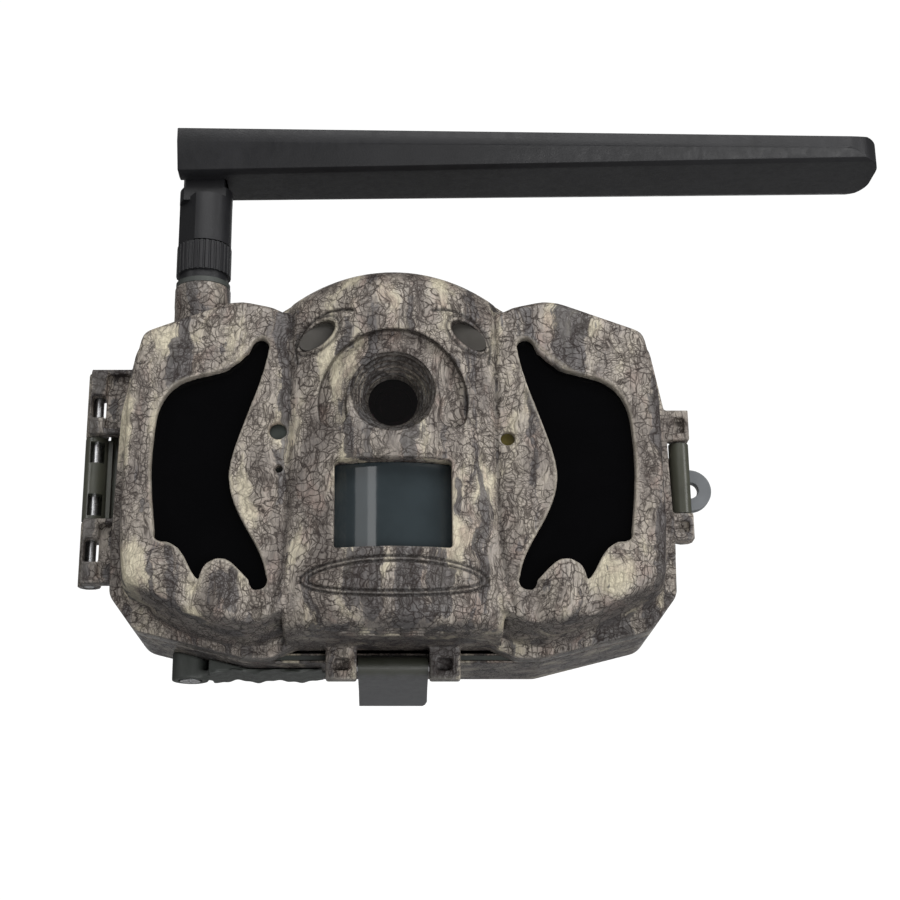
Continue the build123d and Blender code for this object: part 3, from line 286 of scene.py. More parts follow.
def bark_camo(name):
    """Printed bark camouflage: straw plates, dark upright furrows and a sharp net of cracks."""
    mat, tree, shader = new_material(name)
    plain = mm_coords(tree)
    warp = node(tree, "ShaderNodeTexNoise")
    warp.inputs["Scale"].default_value = 0.10
    warp.inputs["Detail"].default_value = 3.0
    link(tree, plain, warp.inputs["Vector"])
    shift = node(tree, "ShaderNodeVectorMath", operation="MULTIPLY_ADD")
    shift.inputs[1].default_value = (7.0, 7.0, 7.0)
    link(tree, warp.outputs["Color"], shift.inputs[0])
    link(tree, plain, shift.inputs[2])
    warped = shift.outputs[0]

    def stretched(scale, source=None):
        made = node(tree, "ShaderNodeMapping")
        made.inputs["Scale"].default_value = scale
        link(tree, source or warped, made.inputs["Vector"])
        return made.outputs["Vector"]

    def painted(under, attribute, amount, colour):
        """Colour over under, where the mesh holds the attribute."""
        held = node(tree, "ShaderNodeAttribute", attribute_name=attribute)
        return mix(tree, maths(tree, "MULTIPLY", held.outputs["Fac"], amount), under, colour)

    # broad plates of bark, from a pinkish grey to straw
    plates = noise(tree, stretched((0.15, 0.15, 0.055)), 1.0, 3.0, 0.5)
    pale = None
    for x, z, half_x, half_z in STRAW:
        at = stretched((1 / half_x, 0.0, 1 / half_z), plain)
        gap = node(tree, "ShaderNodeVectorMath", operation="DISTANCE")
        gap.inputs[1].default_value = (x / half_x, 0.0, z / half_z)
        link(tree, at, gap.inputs[0])
        near = ramp(tree, gap.outputs["Value"], [(0.5, grey(0.16)), (1.0, grey(0))])
        pale = near if pale is None else mix(tree, 1.0, pale, near, "LIGHTEN")
    plates = maths(tree, "ADD", maths(tree, "SUBTRACT", plates, 0.02), pale)
    base = ramp(tree, plates, [
        (0.34, (0.110, 0.095, 0.084)), (0.46, (0.180, 0.158, 0.138)),
        (0.56, (0.240, 0.213, 0.180)), (0.64, (0.315, 0.282, 0.215)), (0.76, (0.400, 0.362, 0.270))])
    straw = ramp(tree, plates, [(0.58, grey(0)), (0.66, grey(1))])
    blush = noise(tree, stretched((0.20, 0.20, 0.12)), 1.0, 2.0)
    blush_mask = ramp(tree, blush, [(0.54, grey(0)), (0.72, grey(0.5))])
    base = mix(tree, blush_mask, base, (0.210, 0.150, 0.125))
    # upright fibre
    fibre = noise(tree, stretched((2.4, 2.4, 0.22)), 1.0, 5.0, 0.7)
    fibre_tone = ramp(tree, fibre, [(0.30, grey(0.50)), (0.50, grey(0.96)), (0.70, grey(1.30))])
    base = mix(tree, 1.0, base, fibre_tone, "MULTIPLY")
    # furrows: long dark upright bands, streaky inside
    furrow = noise(tree, stretched((0.20, 0.20, 0.010)), 1.0, 1.0, 0.5)
    streak = noise(tree, stretched((1.1, 1.1, 0.05)), 1.0, 4.0, 0.6)
    furrow = maths(tree, "ADD", furrow, maths(tree, "MULTIPLY", maths(tree, "SUBTRACT", streak, 0.5), 0.30))
    furrow_mask = ramp(tree, furrow, [(0.55, grey(0)), (0.58, grey(0.85)), (0.66, grey(0.95))])
    furrow_tone = ramp(tree, streak, [(0.35, (0.018, 0.016, 0.016)), (0.66, (0.085, 0.078, 0.077))])
    base = mix(tree, furrow_mask, base, furrow_tone)
    # cracks: ladders of short level ones, a ragged net, and long upright ones
    dark = None
    nets = (((0.33, 0.33, 0.50), 0.060, 0.36, 0.47, 1.00), ((0.85, 0.85, 1.05), 0.095, 0.42, 0.54, 0.75),
            ((0.80, 0.80, 0.07), 0.080, 0.38, 0.52, 0.90))
    for scale, width, low, high, depth in nets:
        cell = node(tree, "ShaderNodeTexVoronoi", feature="DISTANCE_TO_EDGE")
        cell.inputs["Scale"].default_value = 1.0
        cell.inputs["Randomness"].default_value = 1.0
        vector = stretched(scale)
        fine = node(tree, "ShaderNodeTexNoise")
        fine.inputs["Scale"].default_value = 2.6
        fine.inputs["Detail"].default_value = 5.0
        fine.inputs["Roughness"].default_value = 0.65
        link(tree, vector, fine.inputs["Vector"])
        jitter = node(tree, "ShaderNodeVectorMath", operation="MULTIPLY_ADD")
        jitter.inputs[1].default_value = (0.5, 0.5, 0.5)
        link(tree, fine.outputs["Color"], jitter.inputs[0])
        link(tree, vector, jitter.inputs[2])
        link(tree, jitter.outputs[0], cell.inputs["Vector"])
        line = ramp(tree, cell.outputs["Distance"], [(0.0, grey(depth)), (width * 1.5, grey(0))])
        patch = noise(tree, stretched((0.17 + width, 0.17 + width, 0.12), plain), 1.0, 3.0)
        where = ramp(tree, patch, [(low, grey(0.0)), (high, grey(1.0))])
        line = mix(tree, 1.0, line, where, "MULTIPLY")
        dark = line if dark is None else mix(tree, 1.0, dark, line, "LIGHTEN")
    dark = maths(tree, "MULTIPLY", dark, maths(tree, "SUBTRACT", 1.0, maths(tree, "MULTIPLY", straw, 0.55)))
    base = mix(tree, dark, base, (0.018, 0.014, 0.013))
    # the window lips are pale from stretched print and a painted highlight, raised edges are rubbed pale, and
    # painted shade darkens the undersides and the engraving
    # pale window lip: partly print stretched pale at the edge, partly a painted highlight
    base = painted(base, "lip", 0.40, (0.30, 0.27, 0.22))
    # painted shade: low surfaces that face down are darkened
    base = painted(base, "painted_underside_shade", 0.55, (0.028, 0.026, 0.026))
    geometry = node(tree, "ShaderNodeNewGeometry")
    rubbed = [(0.52, grey(0)), (0.60, grey(0.25)), (0.70, grey(0.5))]
    wear = ramp(tree, geometry.outputs["Pointiness"], rubbed)
    base = mix(tree, wear, base, (0.40, 0.38, 0.34))
    # painted shade: the engraved lines, the crease, the funnel steps and the air slots are darkened almost to
    # black
    base = painted(base, "engraved", 0.92, (0.012, 0.010, 0.009))
    link(tree, base, shader.inputs["Base Color"])
    shine = ramp(tree, dark, [(0.0, grey(0.34)), (0.7, grey(0.05))])
    link(tree, shine, shader.inputs["Specular IOR Level"])
    rough = ramp(tree, fibre, [(0.3, grey(0.36)), (0.7, grey(0.52))])
    link(tree, rough, shader.inputs["Roughness"])
    ridges = maths(tree, "MULTIPLY", fibre, 0.30)
    relief = maths(tree, "SUBTRACT", ridges, maths(tree, "MULTIPLY", dark, 0.55))
    bump(tree, shader, relief, 0.10, 0.7)
    return mat


def latch_plastic(name):
    """Colour set by height: olive-black on the barrel, grey lower down on the flared finger pull, with faint
    blotches.
    """
    mat, tree, shader = new_material(name)
    parts = node(tree, "ShaderNodeSeparateXYZ")
    link(tree, mm_coords(tree), parts.inputs[0])
    depth = maths(tree, "DIVIDE", parts.outputs["Z"], -100.0)
    blotch = noise(tree, mm_coords(tree), 0.35, 4.0)
    depth = maths(tree, "ADD", depth, maths(tree, "MULTIPLY", maths(tree, "SUBTRACT", blotch, 0.5), 0.008))
    base = ramp(tree, depth, [
        (0.505, (0.016, 0.017, 0.012)), (0.526, (0.024, 0.025, 0.018)), (0.536, (0.048, 0.049, 0.051))])
    link(tree, base, shader.inputs["Base Color"])
    scuffs = noise(tree, mm_coords(tree, (1.0, 1.0, 0.25)), 0.5, 6.0, 0.7)
    link(tree, ramp(tree, scuffs, [(0.35, grey(0.36)), (0.65, grey(0.50))]), shader.inputs["Roughness"])
    bump(tree, shader, noise(tree, mm_coords(tree), 2.2, 3.0), 0.02)
    return mat


def smoked(name, colour, rough=0.06, level=0.5):
    mat, tree, shader = new_material(name)
    shader.inputs["Specular IOR Level"].default_value = level
    haze = noise(tree, mm_coords(tree), 0.12, 3.0)
    low = tuple(c * 0.85 for c in colour)
    link(tree, ramp(tree, haze, [(0.35, low), (0.65, colour)]), shader.inputs["Base Color"])
    link(tree, ramp(tree, haze, [(0.3, grey(rough)), (0.7, grey(rough * 1.8))]), shader.inputs["Roughness"])
    bump(tree, shader, noise(tree, mm_coords(tree), 0.5, 1.0), 0.004)
    return mat


def clear(name, tint=(0.9, 0.93, 0.95)):
    mat, tree, shader = new_material(name)
    dust = noise(tree, mm_coords(tree), 1.4, 5.0)
    shader.inputs["Base Color"].default_value = (*tint, 1)
    shader.inputs["Transmission Weight"].default_value = 1.0
    shader.inputs["IOR"].default_value = 1.46
    link(tree, ramp(tree, dust, [(0.4, grey(0.01)), (0.75, grey(0.06))]), shader.inputs["Roughness"])
    return mat


MATERIALS = {
    "camo_shell": bark_camo("camo_shell"),
    "olive_plastic": moulded("olive_plastic", (0.040, 0.041, 0.030), 0.34),
    "latch_plastic": latch_plastic("latch_plastic"),
    "grey_plastic": moulded("grey_plastic", (0.075, 0.080, 0.085), 0.5),
    "black_plastic": moulded("black_plastic", (0.018, 0.018, 0.019), 0.48),
    "antenna_black": moulded("antenna_black", (0.0085, 0.0085, 0.0095), 0.42, 0.03, level=0.22),
    "ir_black": smoked("ir_black", (0.0010, 0.0010, 0.0012), 0.03, 0.12),
    "smoked_window": smoked("smoked_window", (0.019, 0.025, 0.028), 0.05),
    "eye_glass": smoked("eye_glass", (0.040, 0.037, 0.033), 0.16, 0.25),
    "sensor_glass": smoked("sensor_glass", (0.026, 0.030, 0.027), 0.40, 0.12),
    "clear_glass": clear("clear_glass"),
    # the lens glass's reddish tint is a painted reflection, standing in for the lens's reddish glint
    "lens_glass": clear("lens_glass", (0.20, 0.15, 0.17)),
    "black_rubber": moulded("black_rubber", (0.022, 0.025, 0.022), 0.6, 0.05),
    "steel": metal("steel", (0.62, 0.62, 0.63), 0.3),
    "zinc": metal("zinc", (0.30, 0.31, 0.33), 0.38),
    "brass": metal("brass", (0.78, 0.58, 0.25), 0.28),
    "board_green": moulded("board_green", (0.010, 0.090, 0.035), 0.35, 0.02, 0.3, 0.3),
    "led_lens": moulded("led_lens", (0.12, 0.10, 0.13), 0.15, 0.005, 0.1, 0.5),
    "status_amber": moulded("status_amber", (0.075, 0.060, 0.012), 0.2, 0.005, 0.6, 0.3),
    "cell_wrap": moulded("cell_wrap", (0.016, 0.020, 0.030), 0.28, 0.01, 0.3, 0.4),
    "key_grey": moulded("key_grey", (0.20, 0.21, 0.22), 0.62, 0.03),
    "lcd_dark": smoked("lcd_dark", (0.010, 0.014, 0.018), 0.08),
    "card_blue": moulded("card_blue", (0.020, 0.035, 0.090), 0.42),
}


# ---- shaping ------------------------------------------------------------------------------
def object_from(bm, name):
    mesh = bpy.data.meshes.new(name)
    bm.to_mesh(mesh)
    bm.free()
    obj = bpy.data.objects.new(name, mesh)
    scene.collection.objects.link(obj)
    return obj


def cad_copy(cad_node, name):
    """A welded copy of a CAD node's mesh, in millimetres."""
    bm = bmesh.new()
    bm.from_mesh(NODES[cad_node].data)
    bmesh.ops.scale(bm, vec=(1000, 1000, 1000), verts=bm.verts)
    bmesh.ops.remove_doubles(bm, verts=bm.verts, dist=0.002)
    return object_from(bm, name)


def applied(obj):
    """Bakes obj's modifiers into its mesh."""
    bpy.context.view_layer.update()
    graph = bpy.context.evaluated_depsgraph_get()
    mesh = bpy.data.meshes.new_from_object(obj.evaluated_get(graph))
    obj.modifiers.clear()
    old = obj.data
    obj.data = mesh
    bpy.data.meshes.remove(old)


def clay(obj, voxel, smooths):
    """Fuses everything in obj into one moulded skin with soft edges."""
    remesh = obj.modifiers.new("fuse", "REMESH")
    remesh.mode = "VOXEL"
    remesh.voxel_size = voxel
    if smooths:
        soften = obj.modifiers.new("soften", "SMOOTH")
        soften.factor = 0.5
        soften.iterations = smooths
    applied(obj)


def crisp(obj, width):
    """Small moulded edge radii on a sharp CAD copy."""
    bm = bmesh.new()
    bm.from_mesh(obj.data)
    bmesh.ops.dissolve_limit(bm, angle_limit=math.radians(1.0), verts=bm.verts, edges=bm.edges)
    bm.to_mesh(obj.data)
    bm.free()
    bevel = obj.modifiers.new("edges", "BEVEL")
    bevel.width = width
    bevel.segments = 2
    bevel.limit_method = "ANGLE"
    bevel.angle_limit = math.radians(SHARP_ANGLE)
    bevel.use_clamp_overlap = True
    for polygon in obj.data.polygons:
        polygon.use_smooth = True
    flats = obj.modifiers.new("flats", "WEIGHTED_NORMAL")
    flats.keep_sharp = True
    applied(obj)


def dress(obj, material, cad_nodes, sharp_angle=None):
    """Turns a piece in millimetres into a finished one in metres, in place of its CAD nodes."""
    obj.data.transform(Matrix.Scale(MM, 4))
    for polygon in obj.data.polygons:
        polygon.use_smooth = True
    if sharp_angle:
        obj.data.set_sharp_from_angle(angle=math.radians(sharp_angle))
    obj.data.materials.clear()
    obj.data.materials.append(MATERIALS[material])
    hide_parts(*cad_nodes)


# ---- sculpting ----------------------------------------------------------------------------
def points_of(obj):
    co = np.empty(len(obj.data.vertices) * 3)
    obj.data.vertices.foreach_get("co", co)
    return co.reshape(-1, 3)


def set_points(obj, co):
    obj.data.vertices.foreach_set("co", co.reshape(-1))
    obj.data.update()


def normals_of(obj):
    out = np.empty(len(obj.data.vertices) * 3)
    obj.data.vertices.foreach_get("normal", out)
    return out.reshape(-1, 3)


def relax(obj, weight, rounds):
    """Laplacian smoothing, each vertex by its own weight from 0 to 1."""
    co = points_of(obj)
    ends = np.empty(len(obj.data.edges) * 2, dtype=np.int64)
    obj.data.edges.foreach_get("vertices", ends)
    a, b = ends[0::2], ends[1::2]
    count = len(co)
    degree = np.bincount(a, minlength=count) + np.bincount(b, minlength=count)
    degree = np.maximum(degree, 1)
    for _ in range(rounds):
        for axis in range(3):
            line = co[:, axis]
            total = np.bincount(a, line[b], count) + np.bincount(b, line[a], count)
            co[:, axis] = line + 0.6 * weight * (total / degree - line)
    set_points(obj, co)


def blob(u, v, centre, radii):
    return np.exp(-((u - centre[0]) / radii[0]) ** 2 - ((v - centre[1]) / radii[1]) ** 2)


def ramp01(value, low, high):
    t = np.clip((value - low) / (high - low), 0.0, 1.0)
    return t * t * (3 - 2 * t)


def path_distance(x, z, path):
    """Distance in the XZ plane from each point to a path of straight pieces."""
    best = np.full(len(x), 1e9)
    for (x0, z0), (x1, z1) in zip(path, path[1:]):
        dx, dz = x1 - x0, z1 - z0
        t = np.clip(((x - x0) * dx + (z - z0) * dz) / (dx * dx + dz * dz), 0, 1)
        best = np.minimum(best, np.hypot(x - x0 - t * dx, z - z0 - t * dz))
    return best


def smooth_path(points, steps=6):
    """A closed curve through the points."""
    out = []
    count = len(points)
    pts = [Vector(p) for p in points]
    for k in range(count):
        p0, p1, p2, p3 = (pts[(k + j) % count] for j in (-1, 0, 1, 2))
        for step in range(steps):
            t = step / steps
            out.append(tuple(0.5 * (2 * p1 + (p2 - p0) * t + (2 * p0 - 5 * p1 + 4 * p2 - p3) * t ** 2
                                    + (3 * p1 - p0 - 3 * p2 + p3) * t ** 3)))
    return out + out[:1]


def ellipse_distance(x, z, centre, half):
    u, v = (x - centre[0]) / half[0], (z - centre[1]) / half[1]
    value = u * u + v * v - 1.0
    slope = 2.0 * np.hypot(u / half[0], v / half[1]) + 1e-6
    return np.abs(value / slope)


# ---- front housing ------------------------------------------------------------------------
# millimetres; +X right, Z up, seen from the front
LEAF = [(30.3, 23.9), (33.6, 11.2), (37.4, 0.2), (39.2, -9.2), (36.9, -17.7), (31.6, -27.5), (29.8, -33.4),
        (30.3, -36.4), (33.8, -34.4), (37.2, -31.0), (40.0, -29.4), (42.6, -29.9), (45.2, -34.8),
        (47.3, -32.4), (49.1, -28.9), (51.5, -26.1), (54.8, -25.1), (56.5, -22.6), (57.9, -8.0), (57.5, 3.1),
        (55.9, 10.2), (51.8, 14.8), (43.5, 17.5), (34.4, 25.0), (31.9, 26.3)]
LEAF_PATH = smooth_path(LEAF)
BROW = [(9.7, 31.3), (12.6, 31.8), (15.5, 31.5), (18.6, 30.4), (21.0, 28.4), (22.8, 25.8), (23.8, 23.0),
        (23.3, 19.4)]
# centre and half sizes of the emblem's two rings
EMBLEMS = (((0.3, -35.0), (22.0, 4.7)), ((0.3, -35.0), (20.2, 3.5)))
CREASE = [(25.0, 36.0), (24.9, 10.0), (25.2, -20.0), (26.4, -34.0), (28.6, -42.0)]
MIDDLE_HALF = 25.0
EYE_X, EYE_Z, EYE_TURN = 18.4, 25.8, -35.0
EYE_HALF = (4.9, 2.6)
LID_GAP = 1.0
LENS_Z = 10.5
ARCH_Z, ARCH_OUT, ARCH_IN, ARCH_DROP = 8.3, 18.0, 11.4, 3.3
ANTENNA = (-48.7, -42.5)
# the lens funnel: radius and y of its mouth, its ribs' number, height and step
FUNNEL_RADIUS, FUNNEL_Y = 10.12, -64.12
RIBS, RIB_RISE, RIB_STEP = 6, 9.6 / 6, 4.1 / 6
# height, centre and radii of the swellings under each wing window, and of the dips between them
LOBES = ((2.3, (40.3, -36.5), (4.6, 7.5)), (1.5, (54.5, -33.5), (6.5, 6.5)), (0.9, (28.0, -39.0), (3.2, 6.0)))
VALLEYS = ((1.3, (46.6, -40.5), (2.2, 6.0)), (1.2, (33.2, -42.5), (2.4, 5.5)))
# places and half sizes of the air slots under the chin
SLOT_COLUMNS, SLOT_ROWS = (-5.8, 0.0, 5.8), (-58.5, -55.5, -52.5)
SLOT_HALF = (1.8, 0.85)


def eye_distance(x, z):
    """From the outline of the nearer slanted eye window, and whether the point is outside it."""
    along, up, turn = np.abs(x) - EYE_X, z - EYE_Z, math.radians(EYE_TURN)
    u = along * math.cos(turn) + up * math.sin(turn)
    v = up * math.cos(turn) - along * math.sin(turn)
    outside = np.hypot(u / EYE_HALF[0], v / EYE_HALF[1]) > 1.0
    return ellipse_distance(u, v, (0.0, 0.0), EYE_HALF), outside


def arch_distance(x, z):
    """From the outline of the arch-shaped recess round the lens."""
    middle, half = (ARCH_OUT + ARCH_IN) / 2, (ARCH_OUT - ARCH_IN) / 2
    end_x = math.sqrt(middle ** 2 - ARCH_DROP ** 2)
    radius = np.hypot(x, z - ARCH_Z)
    ring = np.abs(np.abs(radius - middle) - half)
    ends = np.abs(np.hypot(np.abs(x) - end_x, z - ARCH_Z + ARCH_DROP) - half)
    return np.where(z > ARCH_Z - ARCH_DROP, ring, ends)


def front_grooves(x, z):
    """How deep the engraved lines are, from 0 to 1: the emblem's double ring, the brows and lids."""
    lines = np.exp(-(path_distance(np.abs(x), z, BROW) / 0.38) ** 2)
    for centre, half in EMBLEMS:
        lines = np.maximum(lines, np.exp(-(ellipse_distance(x, z, centre, half) / 0.34) ** 2))
    gap, outside = eye_distance(x, z)
    return np.maximum(lines, 0.8 * outside * np.exp(-((gap - LID_GAP) / 0.32) ** 2))


def crisp_features(x, y, z):
    """1 near edges that stay sharp, 0 where the moulding is soft."""
    keep = ramp01(y, -42.5, -41.0)
    side = np.abs(x)
    keep = np.maximum(keep, (np.hypot(x, z - LENS_Z) < 19.8) & (y < -50))
    keep = np.maximum(keep, (side < 16.0) & (z > -30.0) & (z < -4.6) & (y < -50))
    keep = np.maximum(keep, (np.hypot(side - EYE_X, z - EYE_Z) < 6.4) & (y < -50))
    keep = np.maximum(keep, (np.hypot(side - 27.6, z - 0.6) < 3.0) | (np.hypot(side - 27.3, z + 7.2) < 2.0))
    keep = np.maximum(keep, (side < 13.5) & (z < -42.5) & (y > -60.0) & (y < -51.0))
    keep = np.maximum(keep, (np.hypot(x - ANTENNA[0], y - ANTENNA[1]) < 9.0) & (z > 40.0))
    leaf = path_distance(side, z, LEAF_PATH)
    return np.maximum(keep, (leaf < 1.0) & (y < -53.0))


def sculpt_front(obj):
    """Melts the CAD's facets into a soft moulding, then raises the lobes and cuts the creases."""
    co = points_of(obj)
    x, y, z = co.T
    side = np.abs(x)
    soft = 1.0 - crisp_features(x, y, z).astype(float)
    # beside the chin the CAD's wall is open in a slit at x = 26 on both sides: less melting keeps it narrow
    corner = ramp01(side, 20.0, 23.0) * ramp01(-side, -33.0, -29.0) * ramp01(-z, 35.0, 38.0)
    relax(obj, soft, 12)
    relax(obj, soft * (1.0 - corner), 33)
    relax(obj, soft * (1.0 - corner) * ramp01(-z, 26.0, 34.0), 80)

    co = points_of(obj)
    normal = normals_of(obj)
    x, y, z = co.T
    side = np.abs(x)
    leaf = path_distance(side, z, LEAF_PATH)
    front = ramp01(-y, 54.8, 56.2) * ramp01(side, 24.0, 27.0)
    lobes = sum(height * blob(side, z, centre, radii) for height, centre, radii in LOBES)
    valleys = sum(depth * blob(side, z, centre, radii) for depth, centre, radii in VALLEYS)
    # the cheek beside the window's waist, and its pale moulded lip
    cheek = 0.9 * blob(side, z, (30.5, -10.0), (3.6, 17.0))
    lip = 0.35 * np.exp(-((leaf - 0.6) / 0.55) ** 2)
    co[:, 1] -= front * (lobes - valleys + cheek + lip)
    # the crease between the middle and each wing
    crease = np.exp(-(path_distance(side, z, CREASE) / 0.8) ** 2) * ramp01(-y, 52.0, 55.0)
    co[:, 1] += crease
    # the undercut above the rim flange, all round each wing
    out_x, out_z = side - 45.0, z + 5.0
    reach = np.maximum(np.hypot(out_x, out_z), 1.0)
    facing_out = (out_x * normal[:, 0] * np.sign(x) + out_z * normal[:, 2]) / reach
    under = 1.5 * np.exp(-((y + 43.0) / 2.8) ** 2) * ramp01(facing_out, 0.2, 0.6) * ramp01(side, 35.0, 41.0)
    under *= ramp01(-y, 39.6, 40.6) * ramp01(np.hypot(x - ANTENNA[0], y - ANTENNA[1]), 8.5, 11.0)
    co[:, 0] -= np.sign(x) * out_x / reach * under
    co[:, 2] -= out_z / reach * under
    set_points(obj, co)


def line_distance(x, z):
    """From the nearest line or edge that should stay sharp on the middle."""
    gap, _ = eye_distance(x, z)
    found = np.minimum(np.minimum(gap, np.abs(gap - LID_GAP)), arch_distance(x, z))
    found = np.minimum(found, path_distance(np.abs(x), z, BROW))
    for centre, half in EMBLEMS:
        found = np.minimum(found, ellipse_distance(x, z, centre, half))
    return found


def detailed(co, reach):
    """The parts of the middle with engraved lines or air slots."""
    x, y, z = co.T
    lines = (line_distance(x, z) < reach) & (np.abs(x) < MIDDLE_HALF) & (y < -54.0)
    return lines | ((np.abs(x) < 7.6 + reach) & (y > -60.2) & (y < -51.0) & (z < -44.4))


def refine(obj, reach):
    """Splits the faces close to the fine details, so that those stay sharp."""
    bm = bmesh.new()
    bm.from_mesh(obj.data)
    near = detailed(points_of(obj), reach)
    edges = [edge for edge in bm.edges if near[edge.verts[0].index] and near[edge.verts[1].index]]
    bmesh.ops.subdivide_edges(bm, edges=edges, cuts=1, use_grid_fill=True)
    bm.to_mesh(obj.data)
    bm.free()


def air_slots(co):
    """1 in the three columns of air slots under the chin."""
    x, y, z = co.T
    found = np.zeros(len(co), bool)
    for slot_x in SLOT_COLUMNS:
        for slot_y in SLOT_ROWS:
            found |= (np.abs(x - slot_x) < SLOT_HALF[0]) & (np.abs(y - slot_y) < SLOT_HALF[1])
    return (found & (z < -43.6)).astype(float)


def engrave(obj):
    """Cuts the lines and the air slots, and keeps the front inside the frame's box."""
    co = points_of(obj)
    x, y, z = co.T
    middle = (np.abs(x) < MIDDLE_HALF) & (y < -50.0) & (normals_of(obj)[:, 1] < -0.3)
    co[:, 1] += 0.5 * front_grooves(x, z) * middle
    co[:, 2] += 0.9 * air_slots(co)
    co[:, 1] = np.maximum(co[:, 1], CAD_BOX[0][1] / MM + 0.001)
    set_points(obj, co)


def add_funnel(obj):
    """The lens funnel's ribs, turned crisply just inside the moulded funnel."""
    turns = 96
    rings = []
    for k in range(1, RIBS + 1):
        radius, y = FUNNEL_RADIUS - RIB_STEP * (k - 1), FUNNEL_Y + RIB_RISE * k
        if k > 1:
            rings += [(radius + 0.05, y - RIB_RISE), (radius, y - RIB_RISE + 0.05)]
        rings += [(radius, y - 0.30), (radius - 0.02, y)]
    throat = FUNNEL_RADIUS - RIB_STEP * RIBS
    rings += [(throat, -54.52), (throat, -54.1)]
    bm = bmesh.new()
    bm.from_mesh(obj.data)
    last = None
    for radius, y in rings:
        angles = [2 * math.pi * k / turns for k in range(turns)]
        ring = [bm.verts.new((radius * math.cos(a), y, LENS_Z + radius * math.sin(a))) for a in angles]
        if last:
            for k in range(turns):
                bm.faces.new((last[k], ring[k], ring[k - 1], last[k - 1]))
        last = ring
    bm.to_mesh(obj.data)
    bm.free()


def mark(obj, name, values):
    layer = obj.data.attributes.new(name, "FLOAT", "POINT")
    layer.data.foreach_set("value", values.astype(np.float32))


def painted_shade_under(obj):
    """1 on the low surfaces that face down, where the finish paints shade."""
    return ramp01(-normals_of(obj)[:, 2], 0.55, 0.85) * ramp01(-points_of(obj)[:, 2], 20.0, 30.0)


def mark_front(obj):
    """Stores where the finish paints shade in the engraving, crease, funnel steps and air slots, the pale
    window lip (stretched print and a painted highlight), and painted shade on the undersides.
    """
    co = points_of(obj)
    normal = normals_of(obj)
    x, y, z = co.T
    side = np.abs(x)
    middle = (side < MIDDLE_HALF) & (y < -50.0)
    leaf = path_distance(side, z, LEAF_PATH)
    gap, _ = eye_distance(x, z)
    lines = front_grooves(x, z)
    lines = np.maximum(lines, 0.75 * np.exp(-(arch_distance(x, z) / 0.30) ** 2) * (y > -63.4))
    lines = np.maximum(lines, 0.8 * np.exp(-(gap / 0.28) ** 2))
    radius = np.hypot(x, z - LENS_Z)
    depth = (y - FUNNEL_Y) / RIB_RISE
    steps = np.exp(-((depth - np.round(depth)) / 0.10) ** 2) * (radius < 10.2) * (y > -63.0)
    lines = np.maximum(lines, 0.9 * steps) * middle
    crease = np.exp(-(path_distance(side, z, CREASE) / 0.45) ** 2) * (y < -53.0) * (normal[:, 1] < -0.3)
    # painted shade for the engraved lines, the funnel steps, the crease at half strength and the air slots
    mark(obj, "engraved", np.maximum(np.maximum(lines, 0.5 * crease), air_slots(co)))
    # pale window lip: partly stretched print, partly a painted highlight
    mark(obj, "lip", np.exp(-((leaf - 0.2) / 0.32) ** 2) * (y < -54.0))
    # painted shade under the low surfaces that face down
    mark(obj, "painted_underside_shade", painted_shade_under(obj))


def thin(obj, faces, kept=None):
    """Drops faces where the surface is smooth, and none near the points that are kept."""
    count = sum(len(p.vertices) - 2 for p in obj.data.polygons)
    if count > faces:
        fewer = obj.modifiers.new("thin", "DECIMATE")
        fewer.ratio = faces / count
        if kept is not None:
            group = obj.vertex_groups.new(name="thinned")
            group.add([int(k) for k in np.flatnonzero(~kept)], 1.0, "REPLACE")
            fewer.vertex_group = "thinned"
            fewer.vertex_group_factor = 100.0
        applied(obj)
        obj.vertex_groups.clear()


FRONT_VOXEL, REAR_VOXEL, COVER_VOXEL = 0.38, 0.45, 0.3


def make_front():
    obj = cad_copy("front_housing", "front_shell")
    clay(obj, FRONT_VOXEL, 2)
    sculpt_front(obj)
    thin(obj, 88000, detailed(points_of(obj), 1.3))
    refine(obj, 0.8)
    engrave(obj)
    add_funnel(obj)
    mark_front(obj)
    dress(obj, "camo_shell", ["front_housing"])
    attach(obj, "front_case")


def make_rear():
    obj = cad_copy("rear_housing", "rear_shell")
    clay(obj, REAR_VOXEL, 3)
    thin(obj, 120000)
    # painted shade under the rear shell's low surfaces that face down
    mark(obj, "painted_underside_shade", painted_shade_under(obj))
    dress(obj, "camo_shell", ["rear_housing"])
    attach(obj, "rear_case")


COVER_NODES = ("port_cover_anchor", "port_cover_flap")


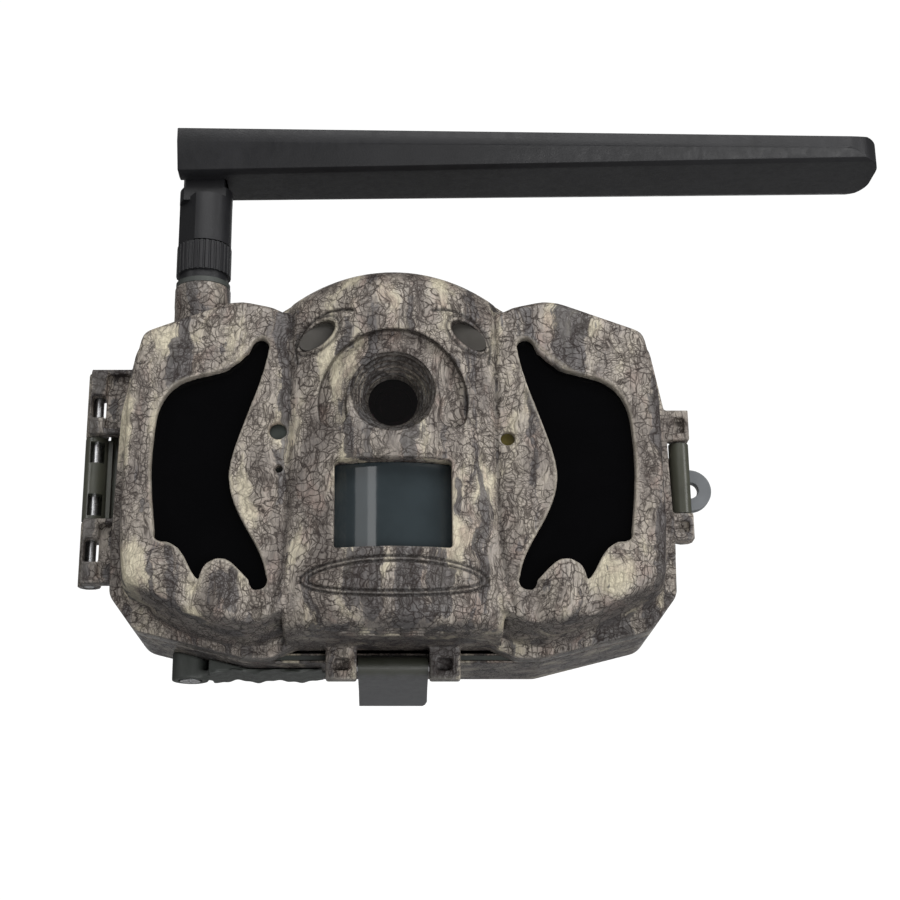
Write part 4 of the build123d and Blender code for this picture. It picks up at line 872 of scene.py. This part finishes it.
def make_port_cover():
    """The rubber cover over the sockets: a screwed boss, a thin neck and a wavy strip."""
    bm = bmesh.new()
    for name in COVER_NODES:
        bm.from_mesh(NODES[name].data)
    bmesh.ops.scale(bm, vec=(1000, 1000, 1000), verts=bm.verts)
    neck = bmesh.ops.create_cube(bm, size=1.0)
    bmesh.ops.scale(bm, vec=(4.0, 7.0, 1.5), verts=neck["verts"])
    bmesh.ops.translate(bm, vec=(-46.2, -20.2, -50.1), verts=neck["verts"])
    obj = object_from(bm, "port_cover")
    clay(obj, COVER_VOXEL, 8)
    co = points_of(obj)
    x, y, z = co.T
    strip = ramp01(x, -46.0, -43.0) * ramp01(-z, 49.9, 50.7)
    co[:, 2] += strip * (0.45 + 0.32 * np.sin(x * 0.62 + 0.8) + 0.12 * np.sin(x * 1.7))
    co[:, 1] += strip * 0.4 * np.sin(x * 0.9 + 2.0)
    set_points(obj, co)
    dress(obj, "black_rubber", COVER_NODES)
    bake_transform(obj)


# ---- everything else ----------------------------------------------------------------------
# edge radius in millimetres and material of the pieces that only need softer edges
EDGES = {
    "antenna_blade": (0.8, "antenna_black"), "antenna_swivel": (0.4, "antenna_black"),
    "antenna_nut": (0.12, "antenna_black"), "hinge_leaf": (0.25, "olive_plastic"),
    "side_latch": (0.3, "olive_plastic"), "bottom_latch": (0.3, "latch_plastic"),
    "lock_eye": (0.4, "grey_plastic"), "strap_bracket": (0.5, "black_plastic"),
    "battery_tray": (0.25, "black_plastic"), "inner_panel": (0.2, "black_plastic"),
}


def body_of(cad_node):
    return NODES[cad_node]["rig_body"]


def slot_of(cad_node):
    rows = frame["record"]["subparts"]
    return next(row["material_slot"] for row in rows if row["node"] == cad_node)


make_camera()
make_studio()
make_front()
make_rear()
make_port_cover()
for cad_node, (width, material) in EDGES.items():
    piece = cad_copy(cad_node, cad_node + "_moulded")
    crisp(piece, width)
    dress(piece, material, [cad_node], SHARP_ANGLE)
    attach(piece, body_of(cad_node))
# CAD nodes that show as they are, where the look differs from the slot's usual one
FINISHES = {
    "eye_windows": "eye_glass", "microphone": "black_rubber", "light_sensor_window": "sensor_glass",
    "lens_window": "lens_glass", "lens_element": "lens_glass",
}
for cad_node, obj in NODES.items():
    if not obj.hide_render:
        obj.data.materials.clear()
        obj.data.materials.append(MATERIALS[FINISHES.get(cad_node, slot_of(cad_node))])
